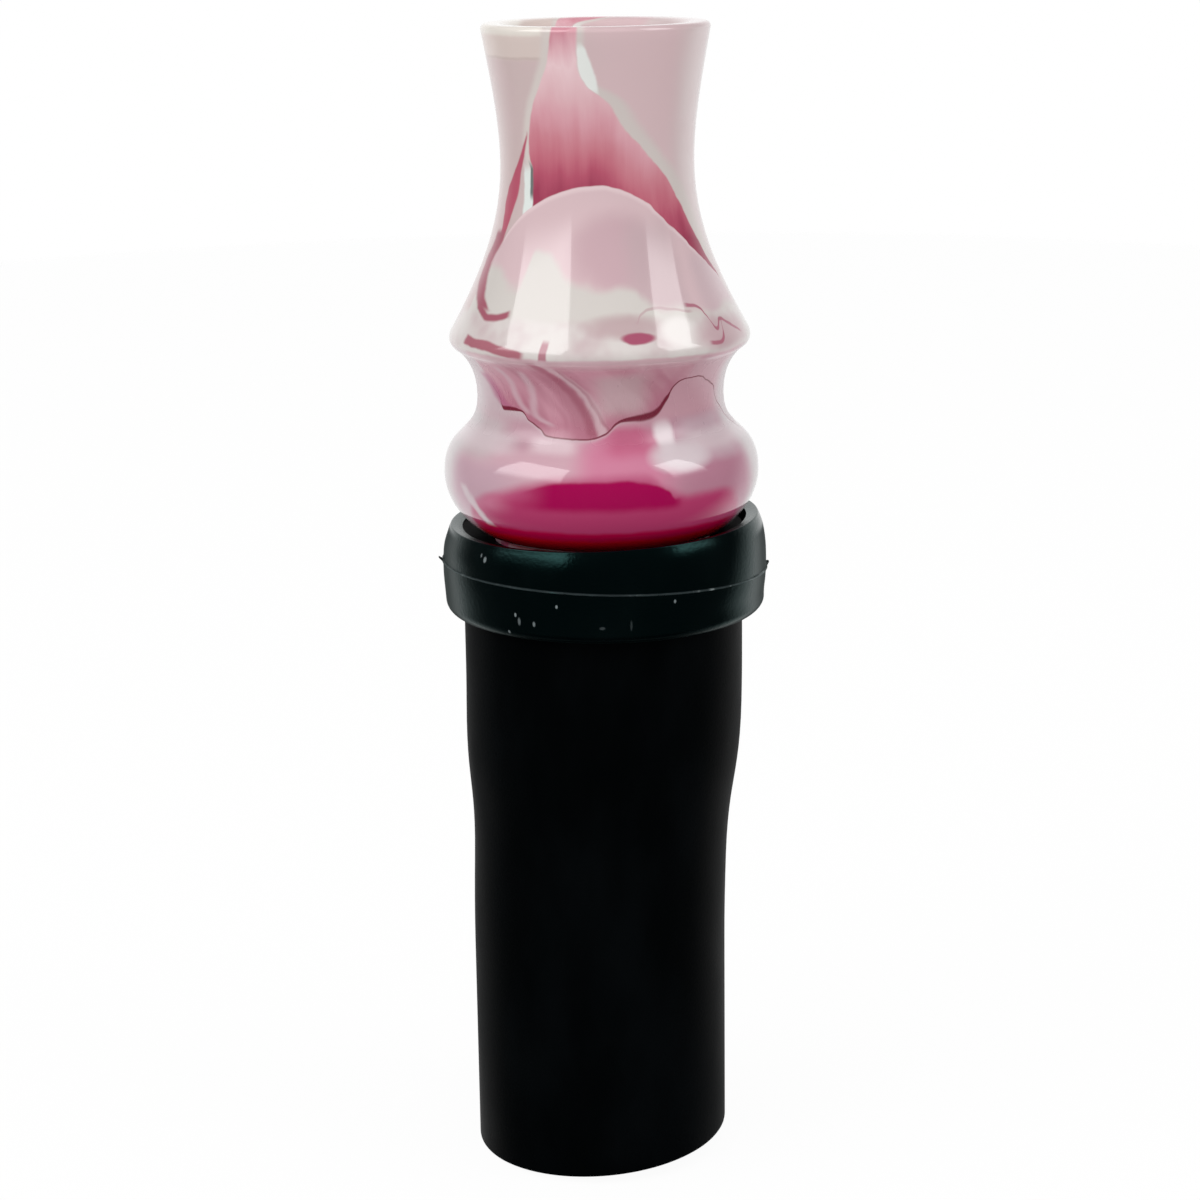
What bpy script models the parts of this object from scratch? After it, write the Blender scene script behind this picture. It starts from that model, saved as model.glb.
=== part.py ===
"""Duck call: a turned acrylic mouthpiece in a rubber tube, with a collar ring and a double-reed insert.

Metres, with +Z running up the bore from the tube's cut end to the mouth. The reeds face -Y, the front.
"""
import math

import bmesh
import bpy

MM = 0.001
FIT_GAP = 0.3 * MM

# Turned acrylic: heights above the tube's cut end, and radii
RIM_Z, RIM_R = 112.8 * MM, 10.8 * MM
WAIST_Z, WAIST_R = 99.9 * MM, 9.2 * MM
FLANGE_Z, FLANGE_R = 83.0 * MM, 14.5 * MM
COVE_Z, COVE_R = 77.6 * MM, 11.95 * MM
BEAD_Z, BEAD_R = 70.2 * MM, 15.3 * MM
SHOULDER_Z, SHOULDER_R = 64.2 * MM, 12.2 * MM
TENON_END_Z, TENON_R = 40.6 * MM, 10.6 * MM
LIP_ROUND = 0.4 * MM
LIP_INNER_R = 8.5 * MM
FLANGE_NOSE = 1.2 * MM
TENON_CHAMFER = 0.7 * MM
GRIP_GROOVE_COUNT = 3
GRIP_GROOVE_PITCH = 4.0 * MM
GRIP_GROOVE_HALF_WIDTH = 0.8 * MM
GRIP_GROOVE_DEPTH = 0.45 * MM

# Bore of the acrylic: narrow at the mouth, wider where the insert plugs in
MOUTH_BORE_R = 6.35 * MM
MOUTH_FLARE_Z = RIM_Z - 9.0 * MM
PLUG_BORE_R = 7.95 * MM
PLUG_BORE_TOP_Z = TENON_END_Z + 28.0 * MM
BORE_STEP = PLUG_BORE_R - MOUTH_BORE_R

# Rubber tube: natural size below, stretched over the tenon above
TUBE_R = 12.7 * MM
TUBE_BORE_R = 9.5 * MM
TUBE_SWELL_R = 13.7 * MM
TUBE_SWELL_BORE_R = TENON_R + FIT_GAP
TUBE_TOP_Z = SHOULDER_Z - 0.4 * MM
TUBE_NECK_TOP_Z, TUBE_NECK_END_Z = 46.6 * MM, 30.6 * MM
TUBE_BORE_NECK_TOP_Z, TUBE_BORE_NECK_END_Z = TENON_END_Z - 0.6 * MM, 31.6 * MM
TUBE_CUT_EDGE = 0.4 * MM

# Moulded collar ring, sitting slightly askew on the tube under the bead
COLLAR_TOP_Z, COLLAR_TOP_R = SHOULDER_Z + 0.6 * MM, 15.35 * MM
COLLAR_FLASH_Z, COLLAR_FLASH_R = SHOULDER_Z - 3.3 * MM, 16.4 * MM
COLLAR_BOTTOM_Z, COLLAR_BAND_R = SHOULDER_Z - 7.7 * MM, 15.9 * MM
COLLAR_BORE_R = 14.1 * MM
COLLAR_DISH = 0.9 * MM
COLLAR_CORNER = 1.1 * MM
COLLAR_FLASH_HALF = 0.2 * MM
COLLAR_TILT = math.radians(1.2)

# Insert: plug with its seals, then tone board, reeds and wedge
PLUG_R = PLUG_BORE_R - FIT_GAP
PLUG_TOP_Z = TENON_END_Z + 26.0 * MM
PLUG_END_Z = TENON_END_Z - 3.5 * MM
PLUG_HOLE_R = 4.9 * MM
PLUG_CUP_R, PLUG_CUP_Z = 6.3 * MM, TENON_END_Z + 14.0 * MM
PLUG_FLANGE_R, PLUG_FLANGE_TOP_Z = 8.7 * MM, TENON_END_Z - FIT_GAP
PLUG_FLARE = 1.3 * MM
PLUG_CHAMFER = 0.4 * MM
SEAL_HEIGHTS = {"upper_o_ring": TENON_END_Z + 10.5 * MM, "lower_o_ring": TENON_END_Z + 5.5 * MM}
SEAL_WIRE_R = 0.75 * MM
SEAL_MID_R = 7.0 * MM
SEAL_GROOVE_HALF = SEAL_WIRE_R + FIT_GAP
SEAL_GROOVE_R = SEAL_MID_R - SEAL_WIRE_R - FIT_GAP

BOARD_R = 5.9 * MM
BOARD_BOTTOM_Z, BOARD_TIP_Z = PLUG_CUP_Z + FIT_GAP, RIM_Z - 11.2 * MM
BOARD_CURVE_Z = PLUG_TOP_Z + 6.0 * MM
BOARD_TIP_DROP = 1.0 * MM
STEM_R, STEM_END_Z = PLUG_HOLE_R - FIT_GAP, TENON_END_Z + 0.5 * MM
STEM_TOP_Z = BOARD_BOTTOM_Z + FIT_GAP
CHANNEL_HALF = 2.4 * MM
CHANNEL_DEPTH = 4.2 * MM
CHANNEL_BOTTOM_Z, CHANNEL_TOP_Z = PLUG_CUP_Z + 1.5 * MM, BOARD_TIP_Z - 3.0 * MM

REED_T = 0.3 * MM
REED_HALF = 5.2 * MM
REED_TAIL_Z = PLUG_CUP_Z + 2.5 * MM
REED_TIP_ROUND = 2.4 * MM
REED_HINGE_Z = PLUG_CUP_Z + 7.5 * MM
REED_TIPS = {"long_reed": BOARD_TIP_Z - 1.0 * MM, "short_reed": BOARD_TIP_Z - 4.0 * MM}
REED_PITCH = REED_T + FIT_GAP

WEDGE_R = PLUG_CUP_R - FIT_GAP
WEDGE_BACK_Y = -(len(REED_TIPS) * REED_PITCH + FIT_GAP)
WEDGE_BOTTOM_Z, WEDGE_TOP_Z = PLUG_CUP_Z + 1.0 * MM, PLUG_TOP_Z + 1.4 * MM

TURN_STEPS = 40
INSERT_STEPS = 32
SEAL_SIDES = 8
SHARP_ANGLE = math.radians(30)
WELD_DISTANCE = 1e-6


def clear_scene():
    """Start from an empty scene."""
    for old in list(bpy.data.objects):
        bpy.data.objects.remove(old, do_unlink=True)


def new_collection(name):
    """A collection linked to the scene."""
    collection = bpy.data.collections.new(name)
    bpy.context.scene.collection.children.link(collection)
    return collection


def new_material(name, colour, roughness):
    """A plain Principled material."""
    material = bpy.data.materials.new(name)
    material.use_nodes = True
    shader = material.node_tree.nodes["Principled BSDF"]
    shader.inputs["Base Color"].default_value = (*colour, 1.0)
    shader.inputs["Roughness"].default_value = roughness
    return material


def curve_points(start, pull_out, pull_in, end, count):
    """Points along a cubic curve from start to end, both ends included."""
    points = []
    for step in range(count + 1):
        t = step / count
        weights = ((1 - t) ** 3, 3 * t * (1 - t) ** 2, 3 * t * t * (1 - t), t ** 3)
        corners = (start, pull_out, pull_in, end)
        points.append(tuple(sum(w * corner[i] for w, corner in zip(weights, corners)) for i in (0, 1)))
    return points


def arc_points(centre, across, up, start_deg, end_deg, count):
    """Points along an elliptical arc, both ends included."""
    points = []
    for step in range(count + 1):
        angle = math.radians(start_deg + (end_deg - start_deg) * step / count)
        points.append((centre[0] + across * math.cos(angle), centre[1] + up * math.sin(angle)))
    return points


def without_repeats(outline):
    """The outline with points that coincide with the one before left out."""
    kept = []
    for point in outline:
        if not kept or math.dist(point, kept[-1]) > WELD_DISTANCE:
            kept.append(point)
    if math.dist(kept[0], kept[-1]) <= WELD_DISTANCE:
        kept.pop()
    return kept


def add_object(name, data, collection, material=None):
    """A named object with its data and material in a collection."""
    thing = bpy.data.objects.new(name, data)
    collection.objects.link(thing)
    if material:
        data.materials.append(material)
    return thing


def turned(name, outline, steps, material, collection):
    """A turned piece: its closed half-outline of (radius, height) points, screwed once round Z."""
    points = [(radius, 0.0, height) for radius, height in without_repeats(outline)]
    mesh = bpy.data.meshes.new(name)
    edges = [(i, (i + 1) % len(points)) for i in range(len(points))]
    mesh.from_pydata(points, edges, [])
    piece = add_object(name, mesh, collection, material)
    screw = piece.modifiers.new("Turn", "SCREW")
    screw.axis = "Z"
    screw.steps = screw.render_steps = steps
    screw.use_merge_vertices = True
    screw.merge_threshold = WELD_DISTANCE
    make_real(piece)
    return piece


def make_real(piece):
    """Apply a piece's modifiers, weld it, and shade it smooth between its sharp edges."""
    evaluated = piece.evaluated_get(bpy.context.evaluated_depsgraph_get())
    mesh = bpy.data.meshes.new_from_object(evaluated)
    shape = bmesh.new()
    shape.from_mesh(mesh)
    bmesh.ops.remove_doubles(shape, verts=shape.verts, dist=WELD_DISTANCE)
    shape.to_mesh(mesh)
    shape.free()
    mesh.shade_smooth()
    mesh.set_sharp_from_angle(angle=SHARP_ANGLE)
    piece.modifiers.clear()
    piece.data = mesh


def plate(name, outline, thickness, material, collection):
    """A flat outline in local XY as a 2D curve, with its thickness along local Z."""
    curve = bpy.data.curves.new(name, "CURVE")
    curve.dimensions = "2D"
    curve.fill_mode = "BOTH"
    curve.extrude = thickness / 2
    spline = curve.splines.new("POLY")
    spline.points.add(len(outline) - 1)
    for point, (x, y) in zip(spline.points, outline):
        point.co = (x, y, 0.0, 1.0)
    spline.use_cyclic_u = True
    return add_object(name, curve, collection, material)


def curve_to_mesh(curve_piece, collection):
    """Replace a curve object by a welded mesh object of the same name, in the same place."""
    bpy.context.view_layer.update()
    evaluated = curve_piece.evaluated_get(bpy.context.evaluated_depsgraph_get())
    mesh = bpy.data.meshes.new_from_object(evaluated)
    placing = curve_piece.matrix_world.copy()
    name = curve_piece.name
    bpy.data.objects.remove(curve_piece)
    shape = bmesh.new()
    shape.from_mesh(mesh)
    bmesh.ops.remove_doubles(shape, verts=shape.verts, dist=WELD_DISTANCE)
    shape.to_mesh(mesh)
    shape.free()
    piece = add_object(name, mesh, collection)
    piece.matrix_world = placing
    return piece


def rod(name, radius, low_z, high_z, y, cutters):
    """A round rod along Z, for joining or cutting."""
    mesh = bpy.data.meshes.new(name)
    shape = bmesh.new()
    bmesh.ops.create_cone(shape, cap_ends=True, segments=INSERT_STEPS, radius1=radius, radius2=radius,
                          depth=high_z - low_z)
    shape.to_mesh(mesh)
    shape.free()
    tool = add_object(name, mesh, cutters)
    tool.location = (0.0, y, (low_z + high_z) / 2)
    return tool


def block(name, low, high, cutters):
    """A box between two corners, for cutting."""
    mesh = bpy.data.meshes.new(name)
    shape = bmesh.new()
    bmesh.ops.create_cube(shape, size=1.0)
    size = [b - a for a, b in zip(low, high)]
    bmesh.ops.scale(shape, vec=size, verts=shape.verts)
    shape.to_mesh(mesh)
    shape.free()
    tool = add_object(name, mesh, cutters)
    tool.location = [(a + b) / 2 for a, b in zip(low, high)]
    return tool


def combine(piece, tool, operation):
    """Add an exact Boolean with a hidden tool object."""
    boolean = piece.modifiers.new(tool.name, "BOOLEAN")
    boolean.operation = operation
    boolean.object = tool
    tool.hide_render = True
    tool.display_type = "WIRE"


def grip_groove(height):
    """One shallow rounded groove round the tenon, which the rubber grips."""
    return arc_points((TENON_R, height), -GRIP_GROOVE_DEPTH, GRIP_GROOVE_HALF_WIDTH, 90, -90, 4)


def mouthpiece_outline():
    """Half-outline of the acrylic: lip, waist, flange, cove and bead outside, tenon below, bore inside."""
    rim = (RIM_R, RIM_Z - LIP_ROUND)
    waist = (WAIST_R, WAIST_Z)
    flange_top = (FLANGE_R - 0.3 * FLANGE_NOSE, FLANGE_Z + FLANGE_NOSE)
    flange_under = (FLANGE_R - 0.45 * FLANGE_NOSE, FLANGE_Z - FLANGE_NOSE)
    cove = (COVE_R, COVE_Z)
    bead = (BEAD_R, BEAD_Z)
    outline = arc_points((RIM_R - LIP_ROUND, RIM_Z - LIP_ROUND), LIP_ROUND, LIP_ROUND, 90, 0, 2)
    outline += curve_points(rim, (RIM_R - 0.7 * MM, RIM_Z - 4.5 * MM), (WAIST_R, WAIST_Z + 4.2 * MM), waist, 6)
    outline += curve_points(waist, (WAIST_R, WAIST_Z - 5.8 * MM),
                            (flange_top[0] - 2.75 * MM, flange_top[1] + 5.0 * MM), flange_top, 8)
    outline += curve_points(flange_top, (FLANGE_R + 0.15 * MM, FLANGE_Z + 0.4 * FLANGE_NOSE),
                            (FLANGE_R + 0.25 * MM, FLANGE_Z - 0.4 * FLANGE_NOSE), flange_under, 4)
    outline += curve_points(flange_under, (flange_under[0] - 1.0 * MM, flange_under[1] - 0.9 * MM),
                            (COVE_R, COVE_Z + 2.2 * MM), cove, 5)
    outline += curve_points(cove, (COVE_R, COVE_Z - 4.0 * MM), (BEAD_R, BEAD_Z + 4.5 * MM), bead, 7)
    outline += arc_points((SHOULDER_R, BEAD_Z), BEAD_R - SHOULDER_R, BEAD_Z - SHOULDER_Z, 0, -90, 6)
    outline.append((TENON_R, SHOULDER_Z))
    for groove in range(GRIP_GROOVE_COUNT, 0, -1):
        outline += grip_groove(TENON_END_Z + groove * GRIP_GROOVE_PITCH)
    outline += [(TENON_R, TENON_END_Z + TENON_CHAMFER), (TENON_R - TENON_CHAMFER, TENON_END_Z)]
    outline += [(PLUG_BORE_R, TENON_END_Z), (PLUG_BORE_R, PLUG_BORE_TOP_Z)]
    outline.append((MOUTH_BORE_R, PLUG_BORE_TOP_Z + BORE_STEP))
    lip_drop = (LIP_INNER_R - MOUTH_BORE_R) / 2
    outline += curve_points((MOUTH_BORE_R, MOUTH_FLARE_Z), (MOUTH_BORE_R, MOUTH_FLARE_Z + 4.0 * MM),
                            (LIP_INNER_R - lip_drop, RIM_Z - lip_drop), (LIP_INNER_R, RIM_Z), 5)
    return outline


def tube_outline():
    """Half-outline of the tube: swollen over the tenon, necked down below it to its natural size."""
    outer_mid = (TUBE_NECK_TOP_Z + TUBE_NECK_END_Z) / 2
    bore_mid = (TUBE_BORE_NECK_TOP_Z + TUBE_BORE_NECK_END_Z) / 2
    outline = [(TUBE_SWELL_R, TUBE_TOP_Z)]
    outline += curve_points((TUBE_SWELL_R, TUBE_NECK_TOP_Z), (TUBE_SWELL_R, outer_mid),
                            (TUBE_R, outer_mid), (TUBE_R, TUBE_NECK_END_Z), 8)
    outline += [(TUBE_R, TUBE_CUT_EDGE), (TUBE_R - TUBE_CUT_EDGE, 0.0)]
    outline += [(TUBE_BORE_R + TUBE_CUT_EDGE, 0.0), (TUBE_BORE_R, TUBE_CUT_EDGE)]
    outline += curve_points((TUBE_BORE_R, TUBE_BORE_NECK_END_Z), (TUBE_BORE_R, bore_mid),
                            (TUBE_SWELL_BORE_R, bore_mid), (TUBE_SWELL_BORE_R, TUBE_BORE_NECK_TOP_Z), 6)
    outline.append((TUBE_SWELL_BORE_R, TUBE_TOP_Z))
    return outline


def collar_outline():
    """Half-outline of the collar about its parting line: dished top, round shoulder, flash, straight band."""
    top = COLLAR_TOP_Z - COLLAR_FLASH_Z
    bottom = COLLAR_BOTTOM_Z - COLLAR_FLASH_Z
    shoulder_end = (COLLAR_FLASH_R - COLLAR_FLASH_HALF, COLLAR_FLASH_HALF)
    outline = [(COLLAR_BORE_R, top - COLLAR_DISH), (COLLAR_TOP_R - COLLAR_FLASH_HALF, top)]
    outline += curve_points((COLLAR_TOP_R, top - COLLAR_FLASH_HALF), (COLLAR_TOP_R + 0.35 * MM, 0.7 * top),
                            (shoulder_end[0], 0.4 * top), shoulder_end, 5)
    outline += [(COLLAR_FLASH_R, 0.0), (COLLAR_BAND_R + COLLAR_FLASH_HALF, -COLLAR_FLASH_HALF)]
    outline += arc_points((COLLAR_BAND_R - COLLAR_CORNER, bottom + COLLAR_CORNER),
                          COLLAR_CORNER, COLLAR_CORNER, 0, -90, 4)
    outline.append((COLLAR_BORE_R, bottom))
    return outline


def plug_outline():
    """Half-outline of the plug: cup on top, two seal grooves, a stop flange and a flared outlet."""
    outline = [(PLUG_R - PLUG_CHAMFER, PLUG_TOP_Z), (PLUG_R, PLUG_TOP_Z - PLUG_CHAMFER)]
    for height in SEAL_HEIGHTS.values():
        outline += [(PLUG_R, height + SEAL_GROOVE_HALF), (SEAL_GROOVE_R, height + SEAL_GROOVE_HALF)]
        outline += [(SEAL_GROOVE_R, height - SEAL_GROOVE_HALF), (PLUG_R, height - SEAL_GROOVE_HALF)]
    outline += [(PLUG_R, PLUG_FLANGE_TOP_Z), (PLUG_FLANGE_R, PLUG_FLANGE_TOP_Z)]
    outline += [(PLUG_FLANGE_R, PLUG_END_Z + PLUG_CHAMFER), (PLUG_FLANGE_R - PLUG_CHAMFER, PLUG_END_Z)]
    outline += [(PLUG_HOLE_R + PLUG_FLARE, PLUG_END_Z), (PLUG_HOLE_R, PLUG_END_Z + 2 * PLUG_FLARE)]
    outline += [(PLUG_HOLE_R, PLUG_CUP_Z), (PLUG_CUP_R, PLUG_CUP_Z), (PLUG_CUP_R, PLUG_TOP_Z)]
    return outline


def board_outline():
    """Side view of the tone board as (depth, height): flat by the plug, then falling away to the tip."""
    outline = [(BOARD_R + MM, BOARD_BOTTOM_Z), (BOARD_R + MM, BOARD_TIP_Z)]
    curve_count = 8
    for step in range(curve_count, -1, -1):
        along = step / curve_count
        height = BOARD_CURVE_Z + along * (BOARD_TIP_Z - BOARD_CURVE_Z)
        outline.append((BOARD_TIP_DROP * along ** 2, height))
    outline.append((0.0, BOARD_BOTTOM_Z))
    return outline


def build_tone_board(material, parts, cutters):
    """The half-round tone board on its stem, with the sound channel cut along its face and down the stem."""
    side_view = plate("tone_board", board_outline(), 2 * BOARD_R + MM, material, parts)
    side_view.rotation_euler = (math.radians(90), 0.0, math.radians(90))
    board = curve_to_mesh(side_view, parts)
    board.data.materials.append(material)
    over = 2 * MM
    combine(board, rod("board_round", BOARD_R, BOARD_BOTTOM_Z - over, BOARD_TIP_Z + over, 0.0, cutters), "INTERSECT")
    combine(board, rod("board_stem", STEM_R, STEM_END_Z, STEM_TOP_Z, 0.0, cutters), "UNION")
    trough_y = CHANNEL_DEPTH - CHANNEL_HALF
    low, high = (-CHANNEL_HALF, -BOARD_R, CHANNEL_BOTTOM_Z + MM), (CHANNEL_HALF, trough_y, CHANNEL_TOP_Z)
    combine(board, block("channel_slot", low, high, cutters), "DIFFERENCE")
    combine(board, rod("channel_round", CHANNEL_HALF, CHANNEL_BOTTOM_Z, CHANNEL_TOP_Z - MM, trough_y, cutters),
            "DIFFERENCE")
    stem_low, stem_high = STEM_END_Z - over, CHANNEL_BOTTOM_Z + over
    combine(board, rod("stem_bore", 0.9 * CHANNEL_HALF, stem_low, stem_high, 0.0, cutters), "DIFFERENCE")
    return board


def build_reed(name, order, material, parts):
    """One thin reed in front of the tone board, with its origin on the line it flexes about."""
    tip, tail = REED_TIPS[name] - REED_HINGE_Z, REED_TAIL_Z - REED_HINGE_Z
    corner_x, corner_y = REED_HALF - REED_TIP_ROUND, tip - REED_TIP_ROUND
    outline = [(-REED_HALF, tail), (REED_HALF, tail)]
    outline += arc_points((corner_x, corner_y), REED_TIP_ROUND, REED_TIP_ROUND, 0, 90, 4)
    outline += arc_points((-corner_x, corner_y), REED_TIP_ROUND, REED_TIP_ROUND, 90, 180, 4)
    reed = plate(name, outline, REED_T, material, parts)
    reed.rotation_euler = (math.radians(90), 0.0, 0.0)
    reed.location = (0.0, -(order + 1) * REED_PITCH + REED_T / 2, REED_HINGE_Z)
    return reed


def build_wedge(material, parts):
    """The cork block that jams the reed tails against the tone board, inside the plug's cup."""
    half_angle = math.degrees(math.acos(-WEDGE_BACK_Y / WEDGE_R))
    outline = arc_points((0.0, 0.0), WEDGE_R, WEDGE_R, -90 - half_angle, -90 + half_angle, 12)
    wedge = plate("cork_wedge", outline, WEDGE_TOP_Z - WEDGE_BOTTOM_Z, material, parts)
    wedge.location.z = (WEDGE_TOP_Z + WEDGE_BOTTOM_Z) / 2
    return wedge


def build_seal(name, height, material, parts):
    """A rubber O-ring in its groove round the plug."""
    bpy.ops.mesh.primitive_torus_add(major_radius=SEAL_MID_R, minor_radius=SEAL_WIRE_R,
                                     major_segments=INSERT_STEPS, minor_segments=SEAL_SIDES,
                                     location=(0.0, 0.0, height))
    seal = bpy.context.object
    seal.name = seal.data.name = name
    for holder in list(seal.users_collection):
        holder.objects.unlink(seal)
    parts.objects.link(seal)
    seal.data.materials.append(material)
    seal.data.shade_smooth()
    return seal


def main():
    clear_scene()
    parts = new_collection("duck_call")
    cutters = new_collection("cutters")
    acrylic = new_material("marbled_acrylic", (0.72, 0.42, 0.48), 0.08)
    tube_rubber = new_material("tube_rubber", (0.012, 0.014, 0.016), 0.6)
    collar_rubber = new_material("collar_rubber", (0.01, 0.012, 0.012), 0.3)
    plug_plastic = new_material("plug_plastic", (0.02, 0.02, 0.022), 0.25)
    board_plastic = new_material("board_plastic", (0.72, 0.72, 0.68), 0.2)
    reed_film = new_material("reed_film", (0.8, 0.8, 0.76), 0.15)
    cork = new_material("cork", (0.52, 0.33, 0.18), 0.85)
    seal_rubber = new_material("seal_rubber", (0.015, 0.015, 0.015), 0.5)

    turned("resonator_tube", tube_outline(), TURN_STEPS, tube_rubber, parts)
    collar = turned("collar_ring", collar_outline(), TURN_STEPS, collar_rubber, parts)
    collar.location.z = COLLAR_FLASH_Z
    collar.rotation_euler.y = COLLAR_TILT

    mouthpiece = turned("mouthpiece", mouthpiece_outline(), TURN_STEPS, acrylic, parts)
    plug = turned("insert_plug", plug_outline(), INSERT_STEPS, plug_plastic, parts)
    plug.parent = mouthpiece
    for name, height in SEAL_HEIGHTS.items():
        build_seal(name, height, seal_rubber, parts).parent = plug
    build_tone_board(board_plastic, parts, cutters).parent = plug
    for order, name in enumerate(REED_TIPS):
        build_reed(name, order, reed_film, parts).parent = plug
    build_wedge(cork, parts).parent = plug


main()
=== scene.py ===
"""Looks of the duck call: a marbled acrylic mouthpiece, a rubber collar and tube, and the reed insert."""
import math

import bpy
from mathutils import Matrix, Vector


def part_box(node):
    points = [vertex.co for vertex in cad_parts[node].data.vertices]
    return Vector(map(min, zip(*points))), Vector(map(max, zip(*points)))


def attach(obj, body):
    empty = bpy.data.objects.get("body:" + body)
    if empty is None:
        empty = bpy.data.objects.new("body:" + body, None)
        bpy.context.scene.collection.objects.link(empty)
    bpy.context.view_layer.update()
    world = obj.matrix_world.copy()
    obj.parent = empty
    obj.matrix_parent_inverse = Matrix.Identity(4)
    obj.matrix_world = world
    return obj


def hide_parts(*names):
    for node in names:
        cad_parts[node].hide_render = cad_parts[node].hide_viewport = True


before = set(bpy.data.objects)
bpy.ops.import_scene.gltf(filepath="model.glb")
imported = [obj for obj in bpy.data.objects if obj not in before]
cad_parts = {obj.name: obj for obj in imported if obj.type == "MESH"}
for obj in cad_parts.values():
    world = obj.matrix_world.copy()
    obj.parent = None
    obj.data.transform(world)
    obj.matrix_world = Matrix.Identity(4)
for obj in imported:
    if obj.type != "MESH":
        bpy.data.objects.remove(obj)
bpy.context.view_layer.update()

MM = 0.001
TURN_STEPS = 160
CURVE_STEPS = 12
WELD = 1e-6
TOUCH = 0.01
ROUND_PULL = 0.5523

# Mouthpiece: heights above the tube's cut end and radii, in mm
RIM_Z, RIM_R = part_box("mouthpiece")[1].z / MM, 10.8
WAIST_Z, WAIST_R = 99.9, 9.2
FLANGE_Z, FLANGE_R = 83.2, 14.5
COVE_Z, COVE_R = 77.6, 11.9
BEAD_Z, BEAD_R = 70.2, 15.3
SHOULDER_Z, SHOULDER_R = 64.2, 10.9
TENON_END_Z, TENON_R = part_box("mouthpiece")[0].z / MM, 10.6
LIP_ROUND, LIP_INNER_R, LIP_INNER_ROUND = 0.5, 7.8, 1.6
TENON_CHAMFER = 0.7
GRIP_GROOVES, GRIP_PITCH, GRIP_HALF, GRIP_DEPTH = 3, 4.0, 0.8, 0.45
MOUTH_BORE_R, MOUTH_FLARE_Z = 6.35, RIM_Z - 9.0
PLUG_BORE_R, PLUG_BORE_TOP_Z = 7.95, TENON_END_Z + 28.0

# Corners of the mouthpiece's flange and pulls of its curves, in mm out and up from the point that is named
RIM_PULL, WAIST_PULL_UP, WAIST_PULL_DOWN = (-0.7, -4.5), (0.0, 4.2), (0.0, -5.8)
FLANGE_TOP, FLANGE_TOP_PULL = (-0.36, 1.1), (-2.75, 5.0)
FLANGE_PULL_UP, FLANGE_PULL_DOWN = (0.2, 0.3), (0.1, -0.5)
FLANGE_UNDER, FLANGE_UNDER_PULL = (-0.75, -0.9), (-1.2, -1.1)
COVE_PULL_UP, COVE_PULL_DOWN = (0.0, 2.2), (0.0, -4.0)
BEAD_PULL_UP, BEAD_PULL_DOWN, SHOULDER_PULL = (0.0, 4.5), (0.0, -2.6), (2.5, 1.0)
MOUTH_PULL, LIP_INNER_PULL = (0.0, 4.0), (-0.5, -2.5)

# Rubber tube, in mm
TUBE_R, TUBE_BORE_R = 12.7, 9.5
TUBE_SWELL_R, TUBE_SWELL_BORE_R = 13.7, 10.9
TUBE_TOP_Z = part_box("resonator_tube")[1].z / MM
TUBE_NECK_TOP_Z, TUBE_NECK_END_Z, TUBE_TOP_CURL = 46.6, 30.6, 0.8
TUBE_BORE_NECK_TOP_Z, TUBE_BORE_NECK_END_Z = TENON_END_Z - 0.6, 31.6
TUBE_SPARE, TUBE_CUT_CLEAR_Z = 2.0, 6.0
TUBE_LEAN, TUBE_LEAN_FROM_Z, TUBE_LEAN_REACH = -0.8, 22.0, 30.0
TUBE_SWELL_PULL, TUBE_PULLS_Z = 5.0, (20.0, 15.0)
TUBE_CUT_SLOPE = math.radians(3.6)
TUBE_CUT_EDGE, TUBE_RIM_NEAR = 0.35, 0.1

# Collar ring, in mm from its parting line, with the slopes of its mould marks
COLLAR_FLASH_Z, COLLAR_FLASH_R = SHOULDER_Z - 3.3, 15.98
COLLAR_TOP, COLLAR_BOTTOM = 4.5, -4.4
COLLAR_TOP_R, COLLAR_BAND_R, COLLAR_BAND_FOOT_R, COLLAR_BORE_R = 15.05, 15.85, 15.65, 13.9
COLLAR_DISH, COLLAR_CORNER, COLLAR_TOP_EDGE, COLLAR_FLASH_HALF = 0.25, 1.0, 0.12, 0.08
COLLAR_FIN_ROOT, COLLAR_FIN_TIP = 1.5 * COLLAR_FLASH_HALF, 0.5 * COLLAR_FLASH_HALF
COLLAR_SHOULDER_R = COLLAR_TOP_R + 0.03
COLLAR_BARREL_PULLS = ((COLLAR_TOP_R + 0.56, 3.3), (COLLAR_BAND_R, 1.8))
COLLAR_BAND_PULLS = ((COLLAR_BAND_R, -1.5), (COLLAR_BAND_FOOT_R + 0.05, -2.0))
COLLAR_TOP_LIFT, COLLAR_FLASH_DROP, COLLAR_FLASH_NOD = (math.radians(slope) for slope in (1.7, -2.0, 1.9))
COLLAR_TOP_DEEP, COLLAR_SLOPE_REACH, COLLAR_OFF_CENTRE = 0.8, 3.0, 0.2
FLASH_NEAR, FLASH_REACH, FLASH_ROUGH = 0.03, 1.2, 0.04
COLLAR_NIBS, NIB_HALF, NIB_RISE, NIB_TAPER = ((-86.0, 0.35), (91.0, 0.2)), 0.7, 0.8, 0.35

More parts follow.
